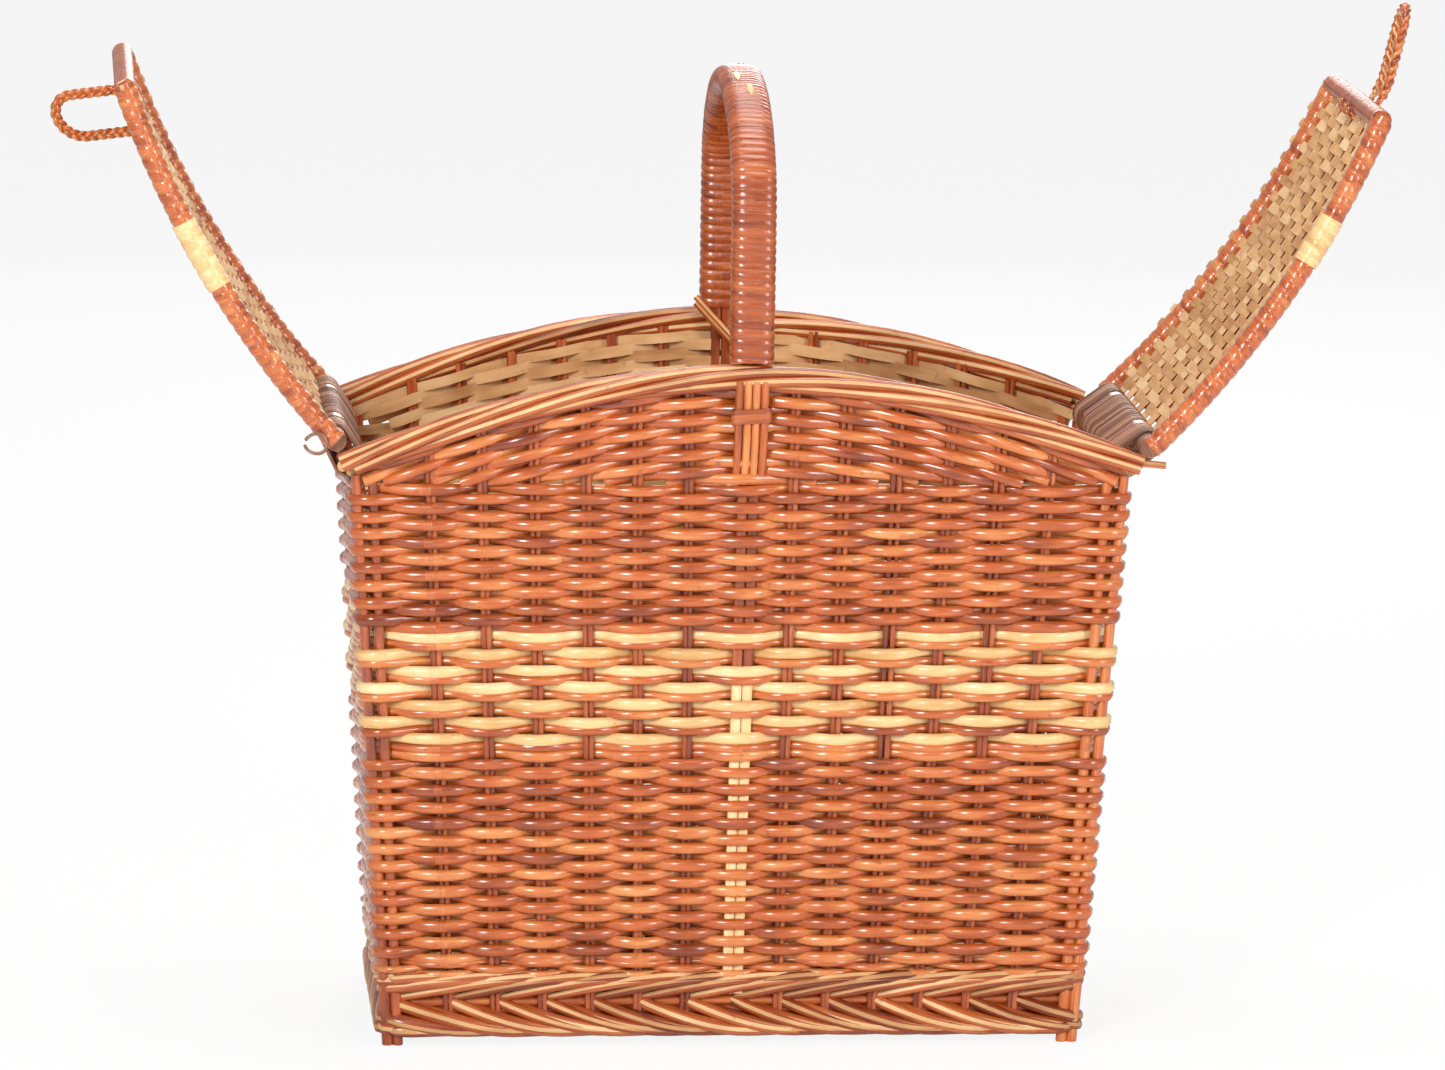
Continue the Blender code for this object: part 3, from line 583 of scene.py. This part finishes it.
def strokes(low, high, ahead, behind, lift, stretch, shift=0.0):
    """A rod from each stake that leaves the wall, lies over the next ones and goes in again."""
    runs = []
    count = len(stake_places(low)[0])
    for start in range(count):
        run = []
        steps = 14
        for i in range(steps + 1):
            part = i / steps
            z = low + (high - low) * math.sin(math.pi / 2 * min(1.0, part * 1.35))
            places, whole = stake_places(z)
            far = start + shift + stretch * part
            bay = math.floor(far)
            first = places[bay % count] + whole * (bay // count)
            last = places[(bay + 1) % count] + whole * ((bay + 1) // count)
            place = first + (last - first) * (far - bay)
            out = behind + (ahead - behind) * math.sin(math.pi * part) ** 0.6
            at = wall_point(place % whole, out, z)
            run.append((at.x, at.y, z + lift * math.sin(math.pi * part), 1.0))
        size = chance.uniform(0.92, 1.08)
        runs.append([(x, y, z, size * (0.7 if i in (0, steps) else 1)) for i, (x, y, z, _) in enumerate(run)])
    return runs


foot_low, foot_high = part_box("foot_border")
foot_runs = strokes(foot_high.z + 0.0005, foot_low.z + 0.0034, 0.0040, -0.002, 0.0, 3.3)
foot_runs += strokes(foot_high.z - 0.0035, foot_low.z + 0.0034, 0.0034, -0.002, 0.0, 3.0, 0.5)
# The dark stain on the foot rods is partly their own colour and partly painted shade: darker to stand for the
# shade that falls low at the foot.
lay(
    "foot_border_rods",
    foot_runs,
    round_rod(0.0031, 10),
    [DEEP, PITH],
    "basket",
    ["foot_border"],
    twist="MINIMUM",
)
inner_foot = [
    [(*wall_point(stake_places(z)[1] * i / 160 % stake_places(z)[1], -0.0028, z), z, 1.0) for i in range(160)]
    for z in [foot_low.z + 0.0032 + 0.0048 * n for n in range(5)]
]
lay(
    "foot_border_core",
    inner_foot,
    round_rod(0.0029, 8),
    [DEEP],
    "basket",
    closed=True,
)
wale_runs = strokes(WALE_LOW + 0.0010, WALE_LOW + 0.0115, 0.0038, -0.0034, 0.0, 3.5)
wale_runs += strokes(WALE_LOW + 0.0050, WALE_LOW + 0.0135, 0.0036, -0.0034, 0.0, 3.3, 0.5)
lay(
    "wale_thick_rods",
    wale_runs,
    round_rod(0.0025, 8),
    [DEEP, PITH],
    "basket",
    ["upsett_wale"],
    twist="MINIMUM",
)
fine = [course(WALE_LOW + 0.0145 + 0.0028 * n, n % 2, 0.0034, chance, 0.05) for n in range(3)]
lay(
    "wale_fine_rods",
    fine,
    split_rod(0.0034, 0.0026),
    [BROWN, PITH],
    "basket",
    closed=True,
)

# ---- Top border ---------------------------------------------------------------------------------
# The tops of the stakes are laid down into a border of rods that lie side by side with a slow
# twist. The long ones rise in an arch, and their cut ends show at the corners.


def laid_rods(name, points, up, count, orbit, radius, turn, cut, nodes):
    """Rods side by side round a line. Each stops short of the line's ends by its own amount."""
    runs = []
    chance = random.Random(name)
    points = [Vector(p) for p in points]
    total = sum((b - a).length for a, b in zip(points, points[1:]))
    for k in range(count):
        run, gone = [], 0.0
        skip = chance.uniform(0.0, cut), total - chance.uniform(0.0, cut)
        for i, at in enumerate(points):
            ahead = (points[min(i + 1, len(points) - 1)] - points[max(i - 1, 0)]).normalized()
            side = ahead.cross(up).normalized()
            over = side.cross(ahead)
            if i:
                gone += (at - points[i - 1]).length
            if not skip[0] <= gone <= skip[1]:
                continue
            angle = math.tau * (k / count + gone / turn)
            off = side * orbit[0] * math.cos(angle) + over * orbit[1] * math.sin(angle)
            run.append((*(at + off), chance.uniform(0.97, 1.03)))
        runs.append(run)
    return lay(
        name,
        runs,
        round_rod(radius, 10),
        [DEEP, PITH],
        "basket",
        nodes,
        twist="MINIMUM",
    )


UP = Vector((0, 0, 1))
for word, side in (("front", -1), ("back", 1)):
    y = side * (BORDER_HALF / 2 - 0.006)
    line = [(BORDER_HALF * (i / 40 - 1), y, arch(BORDER_HALF * (i / 40 - 1))) for i in range(81)]
    laid_rods(
        word + "_border_rods",
        line,
        UP,
        5,
        (0.0034, 0.0042),
        0.0027,
        0.30,
        0.012,
        [word + "_border_and_stakes"],
    )
for word, side in (("left", -1), ("right", 1)):
    low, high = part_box(word + "_border_and_stakes")
    x = (low.x if side < 0 else high.x) - side * 0.0063
    line = [(x, high.y * (i / 20 - 1), high.z - 0.0063) for i in range(41)]
    laid_rods(
        word + "_border_rods",
        line,
        UP,
        4,
        (0.0032, 0.0032),
        0.0029,
        0.09,
        0.004,
        [word + "_border_and_stakes"],
    )

# ---- Handle -------------------------------------------------------------------------------------
# Two peeled core rods run up the front wall, over and down the back one. Above the border they
# are wound close with skein, and at each foot four rods and a lashing hold them to the wall.

# Flat work is drawn in its own plane: local z is then world x here, and world -y for UPRIGHT.
ACROSS = Matrix(((0, 0, 1, 0), (1, 0, 0, 0), (0, 1, 0, 0), (0, 0, 0, 1)))
UPRIGHT = Matrix(((1, 0, 0, 0), (0, 0, -1, 0), (0, 1, 0, 0), (0, 0, 0, 1)))
wrap_low, wrap_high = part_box("handle_wrap")
BOW_WIDTH = wrap_high.x - wrap_low.x
BOW_THICK = 0.014
BOW_RISE = 0.055
PEELED_TOP = 0.19
bow_span = wrap_high.y - BOW_THICK / 2
bow_spring = wrap_high.z - BOW_THICK / 2 - BOW_RISE
bow_middle = (wrap_low.x + wrap_high.x) / 2


def bow(low):
    """(y, z) along the handle from a height on the front to the same on the back."""
    leg = [(-(half_depth(min(z, CROWN)) - WALL / 2), z) for z in (low, (low + CROWN) / 2, CROWN) if z < CROWN]
    arc = []
    for i in range(25):
        angle = math.pi * i / 24
        arc.append((-bow_span * math.cos(angle), bow_spring + BOW_RISE * math.sin(angle)))
    if low >= CROWN:
        leg = [(-bow_span, low)]
    return leg + arc + [(-y, z) for y, z in reversed(leg)]


def evenly(points, step):
    """The same line with points at one spacing, and how far along each is."""
    points = np.array(points, float)
    gone = np.concatenate([[0.0], np.cumsum(np.linalg.norm(np.diff(points, axis=0), axis=1))])
    count = max(2, round(gone[-1] / step))
    at = np.linspace(0.0, gone[-1], count + 1)
    return [tuple(p) for p in np.stack([np.interp(at, gone, points[:, i]) for i in range(points.shape[1])], 1)], at


for word, side in (("left", -1), ("right", 1)):
    line, _ = evenly(bow(WALE_LOW + 0.004), 0.01)
    core = [(y, z, handle_x(z) + side * 0.00265, 1.0) for y, z in line]
    ends = [[p for p in core if p[1] < PEELED_TOP and p[0] * s > 0] for s in (-1, 1)]
    core = [p for p in core if p[1] > PEELED_TOP - 0.012]
    flat = [(-0.0024, -0.002), (-0.0018, -0.0025), (0.0018, -0.0025), (0.0024, -0.002), (0.0024, 0.002), (0.0018, 0.0025), (-0.0018, 0.0025), (-0.0024, 0.002)]
    lay(
        f"handle_core_{word}_slat",
        ends,
        flat,
        [CREAM],
        "basket",
        [f"handle_core_{word}"],
        place=ACROSS,
    )
    lay(f"handle_core_{word}_rod", [core], flat, [DEEP], "basket", place=ACROSS)

line, gone = evenly(bow(wrap_low.z + 0.0002), 0.0006)
reach = gone[-1] / 2
pitches = [0.0031 + 0.0019 * abs(g - reach) / reach for g in gone]
turns = np.cumsum([0.0006 / p for p in pitches])
oval = []
for i in range(24):
    c, s = math.cos(math.tau * i / 24), math.sin(math.tau * i / 24)
    oval.append((BOW_THICK / 2 * math.copysign(abs(c) ** 0.7, c), BOW_WIDTH / 2 * math.copysign(abs(s) ** 0.7, s)))
run = [(y, z, bow_middle, 1.0) for y, z in line]
# The handle skein takes the dark stain, partly its own colour and partly painted shade, darkened against the light
# that falls on the handle's top and front.
lay(
    "handle_skein",
    [run],
    oval,
    [DEEP],
    "basket",
    ["handle_wrap"],
    place=ACROSS,
    turns=turns,
    depth=0.0007,
)

for word, side in (("front", -1), ("back", 1)):
    low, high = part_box(word + "_handle_rods")
    runs = []
    for n in range(4):
        run = []
        for i in range(9):
            z = low.z - 0.012 + (high.z + 0.006 - low.z + 0.012) * i / 8
            out = 0.0022 if i > 2 else 0.0022 - 0.0022 * (3 - i)
            x = handle_x(z) + 0.0042 * (n - 1.5)
            run.append((x, side * (half_depth(z) + out), z, 1.0))
        runs.append(run)
    lay(
        word + "_handle_foot_rods",
        runs,
        round_rod(0.0021, 10),
        [BROWN, PITH],
        "basket",
        [word + "_handle_rods"],
        twist="MINIMUM",
    )
    low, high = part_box(word + "_handle_lashing")
    runs = []
    for n in range(3):
        z = low.z + (high.z - low.z) * (n + 0.5) / 3
        wide, near, far = 0.0098, half_depth(z) - 0.002, half_depth(z) + 0.0050
        ring = []
        for i in range(24):
            c, s = math.cos(math.tau * i / 24), math.sin(math.tau * i / 24)
            x = handle_x(z) + wide * math.copysign(abs(c) ** 0.6, c)
            y = (near + far) / 2 + (far - near) / 2 * math.copysign(abs(s) ** 0.6, s)
            ring.append((-side * x if side > 0 else x, side * y if side > 0 else -y, z + 0.0008 * c, 1.0))
        runs.append(ring)
    band = [(-0.0003, -0.0013), (0.0003, -0.0013), (0.0006, 0.0), (0.0003, 0.0013), (-0.0003, 0.0013)]
    lay(
        word + "_handle_lashing_skein",
        runs,
        band,
        [DEEP],
        "basket",
        [word + "_handle_lashing"],
        closed=True,
    )

diagonal = []
for shift in (-0.0016, 0.0016):
    run = []
    for i in range(11):
        part = i / 10
        x = bow_middle - 0.0135 + 0.027 * part
        z = CROWN + 0.0115 - 0.030 * part + shift
        run.append((x, half_depth(z) - WALL - 0.0012 - 0.0022 * math.sin(math.pi * part), z, 1.0))
    diagonal.append(run)
lay("back_handle_cross_tie", diagonal, round_rod(0.0017, 8), [BROWN, PITH], "basket")
pegs = []
for angle, x in ((1.32, -0.0035), (1.12, 0.0015), (1.80, 0.002)):
    peg = []
    for i in range(5):
        turn = angle + 0.035 * (i - 2)
        out = BOW_THICK / 2 + 0.0001
        y = -(bow_span + out * 0.9) * math.cos(turn)
        z = bow_spring + (BOW_RISE + out) * math.sin(turn)
        peg.append((y, z, bow_middle + x, (0.3, 0.9, 1.0, 0.9, 0.3)[i]))
    pegs.append(peg)
lay(
    "handle_leader_pegs",
    pegs,
    [(0.0007, -0.0016), (0.0007, 0.0016), (-0.0004, 0.0014), (-0.0004, -0.0014)],
    [CREAM],
    "basket",
    place=ACROSS,
)

# ---- Lids ---------------------------------------------------------------------------------------
# Each lid is a frame of four rods wound with skein. Ribs run its length, split strips are woven
# over and under them, pith inwards, and the ends of every other strip stick out past the back.

CHORD = {"left": 0.20135, "right": 0.19818}
OPENED = {"left": math.pi - math.radians(59.0), "right": math.pi - math.radians(55.3)}
PALE_STRETCH = {"left": (0.47, 0.65), "right": (0.60, 0.73)}
LID_BOW = 0.010
HINGE_HALF = 0.092
FREE_HALF = 0.0805
RAIL = 0.0056
RIBS = 7


def lid_place(word):
    """From a lid's own frame, where x runs to its free end and z out of the basket, to its place."""
    low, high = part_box(word + "_lid_hinge_rail")
    middle = (low + high) / 2
    if word == "left":
        turn = Matrix.Rotation(-OPENED[word], 4, "Y")
    else:
        turn = Matrix.Rotation(OPENED[word], 4, "Y") @ Matrix.Rotation(math.pi, 4, "Z")
    return Matrix.Translation((middle.x, 0, middle.z)) @ turn


def bowed(chord, along):
    radius = chord**2 / (8 * LID_BOW) + LID_BOW / 2
    return math.sqrt(max(0.0, radius**2 - (along - chord / 2) ** 2)) - radius + LID_BOW


def lid_half(chord, along):
    return HINGE_HALF + (FREE_HALF - HINGE_HALF) * along / chord


def side_rail(chord, side, start, end, step):
    points = []
    for i in range(61):
        along = chord * (start + (end - start) * i / 60)
        points.append((along, side * (lid_half(chord, along) - RAIL), bowed(chord, along)))
    return evenly(points, step)


for word in ("left", "right"):
    chord, place, body = CHORD[word], lid_place(word), word + "_lid"
    side_of = {"front": 1, "back": -1} if word == "right" else {"front": -1, "back": 1}
    for end, side in side_of.items():
        points, gone = side_rail(chord, side, 0.0, 1.0, 0.0008)
        run = [(*p, 1.0) for p in points]
        lay(
            f"{word}_lid_{end}_rail_skein",
            [run],
            round_rod(RAIL, 14),
            [BROWN],
            body,
            [f"{word}_lid_{end}_rail"],
            place=place,
            turns=gone / 0.0062,
            depth=0.0006,
        )
        butt = [(*side_rail(chord, side, 1.0, 1.012, 0.001)[0][i], 1.0) for i in (0, -1)]
        lay(
            f"{word}_lid_{end}_rail_butt",
            [butt],
            round_rod(0.0042, 12),
            [DEEP, PITH],
            body,
            place=place,
        )
    points, gone = side_rail(chord, side_of["front"], *PALE_STRETCH[word], 0.0008)
    run = [(*p, 1.0) for p in points]
    lay(
        f"{word}_lid_pale_skein",
        [run],
        round_rod(RAIL + 0.0007, 14),
        [CREAM],
        body,
        [f"{word}_lid_cream_wrap"],
        place=place,
        turns=gone / 0.0055,
        depth=0.0005,
    )
    for end, along in (("hinge", 0.0), ("free", chord)):
        half = lid_half(chord, along) - 1.2 * RAIL
        points, gone = evenly(
            [(along, -half, bowed(chord, along)), (along, half, bowed(chord, along))],
            0.0006,
        )
        run = [(*p, 1.0) for p in points]
        lay(
            f"{word}_lid_{end}_rail_skein",
            [run],
            round_rod(0.0053, 14),
            [SKEIN if end == "hinge" else DEEP],
            body,
            [f"{word}_lid_{end}_rail"],
            place=place,
            turns=gone / 0.0036,
            depth=0.0006,
        )
    ribs = []
    for k in range(RIBS):
        part = (k + 1) / (RIBS + 1) * 2 - 1
        rib = []
        for i in range(17):
            along = chord * i / 16
            rib.append((along, part * (lid_half(chord, along) - 2 * RAIL), bowed(chord, along), 1.0))
        ribs.append(rib)
    lay(
        f"{word}_lid_ribs",
        ribs,
        [(-0.0062, -0.0004), (0.0062, -0.0004), (0.0056, 0.0004), (-0.0056, 0.0004)],
        [BROWN, PITH],
        body,
        place=place,
    )
    strips = []
    chance = random.Random(word)
    count = 37
    for n in range(count):
        along = 0.010 + (chord - 0.0185) * (n + 0.5) / count
        half = lid_half(chord, along) - 1.6 * RAIL
        strip = []
        for i in range(-4 * RIBS - 4, 4 * RIBS + 5):
            part = i / (4 * RIBS + 4)
            wave = math.cos(math.pi * ((part + 1) * (RIBS + 1) / 2 + n))
            strip.append((along, part * half, bowed(chord, along) + 0.0013 * wave, 1.0))
        out = side_of["back"]
        if n % 2 and n > 6:
            for reach, size in ((0.004, 1.0), (0.0095, 0.75), (0.0115, 0.15)):
                y = out * (half + reach + chance.uniform(0, 0.001))
                tip = (along, y, bowed(chord, along) - 0.0052 + 0.0004 * reach, size)
                strip = strip + [tip] if out > 0 else [tip] + strip
        strips.append(strip)
    flat = [(-0.0027, -0.0004), (0.0027, -0.0004), (0.0024, 0.0004), (0.0, 0.0006), (-0.0024, 0.0004)]
    lay(
        f"{word}_lid_woven_strips",
        strips,
        flat,
        [BROWN, PITH],
        body,
        [f"{word}_lid_panel"],
        place=place,
    )

# ---- Plaited loops ------------------------------------------------------------------------------
# Each fastening is a loop of three thin rods plaited together. The left lid's stands on it, and
# the right lid's hangs from its free rail by two eyes and drops over the other.


def plait(name, line, radius, wide, deep, length, body, node, place, up=Vector((0, 0, 1))):
    points, gone = evenly(line, 0.0007)
    points = [Vector(p) for p in points]
    runs = []
    for k in range(3):
        run = []
        for i, at in enumerate(points):
            ahead = (points[min(i + 1, len(points) - 1)] - points[max(i - 1, 0)]).normalized()
            side = ahead.cross(up).normalized()
            angle = math.tau * (gone[i] / length + k / 3)
            run.append((*(at + side * wide * math.sin(angle) + up * deep * math.sin(2 * angle)), 1.0))
        runs.append(run)
    return lay(
        name,
        runs,
        round_rod(radius, 8),
        [BROWN, PITH],
        body,
        [node],
        twist="MINIMUM",
        place=place,
    )


chord = CHORD["left"]
far = chord + 0.0054 - 0.014
near = far - 0.022
lean = Vector((math.sin(math.radians(24)), 0, math.cos(math.radians(24))))
first = Vector((near, 0, bowed(chord, near) + 0.0015))
last = Vector((far, 0, bowed(chord, far) + 0.0015))
middle = (first + last) / 2 + lean * 0.0285
line = [first]
for i in range(13):
    angle = math.pi * i / 12
    line.append(middle - (last - first) / 2 * math.cos(angle) + lean * 0.0108 * math.sin(angle))
line.append(last)
plait(
    "left_lid_staple_plait",
    line,
    0.00125,
    0.0016,
    0.0011,
    0.0125,
    "left_lid",
    "left_lid_staple_loop",
    lid_place("left"),
    Vector((0, 1, 0)),
)

chord = CHORD["right"]
slope = math.atan((bowed(chord, chord) - bowed(chord, chord - 0.0005)) / 0.0005)
hasp_place = lid_place("right") @ Matrix.Translation((chord, 0, bowed(chord, chord))) @ Matrix.Rotation(
    -slope + math.radians(10),
    4,
    "Y",
)
half = 0.0100
eye = 0.0071
line = []
for i in range(15):
    angle = math.pi * (1.45 - 0.95 * i / 14)
    line.append((eye * math.cos(angle), -half, eye * math.sin(angle)))
line += [(0.006, -half, 0.0098), (0.014, -half, 0.0113)]
for i in range(13):
    angle = math.pi * i / 12
    line.append((0.0420 + half * math.sin(angle), -half * math.cos(angle), 0.0113))
line += [(0.014, half, 0.0113), (0.006, half, 0.0098)]
for i in range(15):
    angle = math.pi * (0.5 + 0.95 * i / 14)
    line.append((eye * math.cos(angle), half, eye * math.sin(angle)))
points, gone = evenly(line, 0.0007)
runs = []
for k in range(3):
    run = []
    for i, at in enumerate(points):
        ahead = Vector(points[min(i + 1, len(points) - 1)]) - Vector(points[max(i - 1, 0)])
        ahead.normalize()
        round_eye = abs(at[1]) > half - 1e-6 and at[0] < 0.006
        up = Vector((0, 1, 0)) if round_eye else Vector((0, 0, 1))
        side = ahead.cross(up).normalized()
        angle = math.tau * (gone[i] / 0.0125 + k / 3)
        tight = 0.45 if round_eye else 1.0
        off = side * 0.0016 * tight * math.sin(angle) + up * 0.0011 * tight * math.sin(2 * angle)
        run.append((*(Vector(at) + off), 0.75 if round_eye else 1.0))
    runs.append(run)
lay(
    "right_lid_hasp_plait",
    runs,
    round_rod(0.00125, 8),
    [BROWN, PITH],
    "hasp",
    ["right_lid_hasp_loop"],
    twist="MINIMUM",
    place=hasp_place,
)

# ---- Hinges -------------------------------------------------------------------------------------
# Each lid turns in two bands of flat skein wound round the end border and its hinge rail, with a
# few thin ties beside them.

for word, side in (("left", -1), ("right", 1)):
    rail = lid_place(word).translation
    low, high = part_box(word + "_border_and_stakes")
    border = Vector(((low.x if side < 0 else high.x) - side * 0.0063, 0, high.z - 0.0063))
    towards = (rail - border).normalized()
    across = Vector((-towards.z, 0, towards.x))

    def loop(y, thick, slip):
        ring = []
        for i in range(28):
            angle = math.tau * (i + 0.5) / 28
            forward = math.cos(angle) > 0
            middle = rail if forward else border
            radius = (0.0054 if forward else 0.0063) + thick
            at = middle + (towards * math.cos(angle) + across * math.sin(angle)) * radius
            ring.append((at.x, at.z, -(y + slip * math.cos(angle)), 1.0))
        return ring

    for end, y in (("front", -0.0435), ("back", 0.0435)):
        runs = [loop(y + 0.0027 * n, 0.0009, 0.0004) for n in (-1, 0, 1)]
        band = [(-0.0004, -0.0013), (0.0004, -0.0013), (0.0007, 0.0), (0.0004, 0.0013), (-0.0004, 0.0013)]
        lay(
            f"{word}_hinge_band_{end}",
            runs,
            band,
            [DEEP],
            "basket",
            [f"{word}_hinge_ring_{end}"],
            closed=True,
            place=UPRIGHT,
        )
    ties = [loop(0.0052 * n, 0.0010, 0.0012) for n in range(-14, 15) if abs(abs(0.0052 * n) - 0.0435) > 0.006]
    lay(
        f"{word}_hinge_ties",
        ties,
        round_rod(0.0010, 6),
        [SKEIN],
        "basket",
        closed=True,
        place=UPRIGHT,
    )

tie = []
for i in range(19):
    angle = math.tau * i / 20 + 0.4
    tie.append((-0.2105 - 0.0055 * math.cos(angle), -0.0935 - 0.002 * math.sin(2 * angle), 0.3075 + 0.0050 * math.sin(angle), 1.0))
lay(
    "left_hinge_tie_loop",
    [tie],
    round_rod(0.0009, 6),
    [SKEIN],
    "basket",
    twist="MINIMUM",
)
stub = [(0.197 + 0.0034 * i, -0.0955 + 0.0004 * i, 0.2985 - 0.0004 * i, 1.0) for i in range(5)]
lay(
    "right_hinge_rod_stub",
    [stub],
    round_rod(0.0018, 8),
    [BROWN, PITH],
    "basket",
    twist="MINIMUM",
)

# ---- Floor, light and camera --------------------------------------------------------------------
# A plain white sweep, four soft lamps, and a long lens a little left of the middle.

bpy.ops.mesh.primitive_plane_add(size=14.0, location=(0, 2.0, 0))
floor = bpy.context.object
floor.name = "studio_floor"
white = bpy.data.materials.new("studio_white")
white.use_nodes = True
white.node_tree.nodes["Principled BSDF"].inputs["Base Color"].default_value = (0.9, 0.9, 0.9, 1)
white.node_tree.nodes["Principled BSDF"].inputs["Roughness"].default_value = 0.9
floor.data.materials.append(white)
studio = Grain(white.node_tree)
seen = studio.node("LightPath", output=0)
glow = studio.node("Emission", values={"Color": (1, 1, 1, 1), "Strength": 1.0})
plain = Grain(white.node_tree, white.node_tree.nodes["Principled BSDF"].outputs[0])
mixed = studio.node("MixShader", values={0: seen * 0.88, 1: plain, 2: glow})
mixed.into(white.node_tree.nodes["Material Output"].inputs["Surface"])

world = bpy.data.worlds.new("studio_air")
bpy.context.scene.world = world
world.use_nodes = True
air = Grain(world.node_tree)
rays = air.node("LightPath", output=0)
shine = air.node("LightPath", output=3)
backdrop = world.node_tree.nodes["Background"]
backdrop.inputs["Color"].default_value = (1, 1, 1, 1)
(air.sum("MAXIMUM", rays, shine * 0.5) * 0.79 + 0.21).into(backdrop.inputs["Strength"])


def lamp(name, place, size, power):
    data = bpy.data.lights.new(name, "AREA")
    data.shape = "RECTANGLE"
    data.size, data.size_y = size
    data.energy = power
    light = bpy.data.objects.new(name, data)
    light.location = place
    light.rotation_euler = (Vector((0, 0, 0.25)) - Vector(place)).to_track_quat("-Z", "Y").to_euler()
    bpy.context.scene.collection.objects.link(light)


lamp("key", (-1.0, -2.0, 1.3), (0.5, 0.7), 42)
lamp("fill", (1.5, -1.7, 0.9), (0.6, 0.8), 22)
lamp("back", (0.5, 2.2, 1.3), (1.2, 1.0), 20)
lamp("top", (0.1, 0.1, 2.0), (1.2, 1.0), 20)

AZIMUTH, ELEVATION, ROLL = math.radians(5.0), math.radians(10.2), math.radians(0.9)
ahead = Vector(
    (
        math.sin(AZIMUTH) * math.cos(ELEVATION),
        math.cos(AZIMUTH) * math.cos(ELEVATION),
        -math.sin(ELEVATION),
    )
)
data = bpy.data.cameras.new("camera")
data.sensor_width = 36.0
data.lens = 196.8
data.shift_x = -0.0017
data.shift_y = -0.0069
data.clip_end = 60.0
camera = bpy.data.objects.new("camera", data)
look = ahead.to_track_quat("-Z", "Y").to_matrix().to_4x4()
camera.matrix_world = Matrix.Translation(Vector((0, 0, 0.25)) - ahead * 4.0) @ look @ Matrix.Rotation(
    ROLL,
    4,
    "Z",
)
bpy.context.scene.collection.objects.link(camera)
bpy.context.scene.camera = camera
bpy.context.scene.view_settings.view_transform = "Standard"
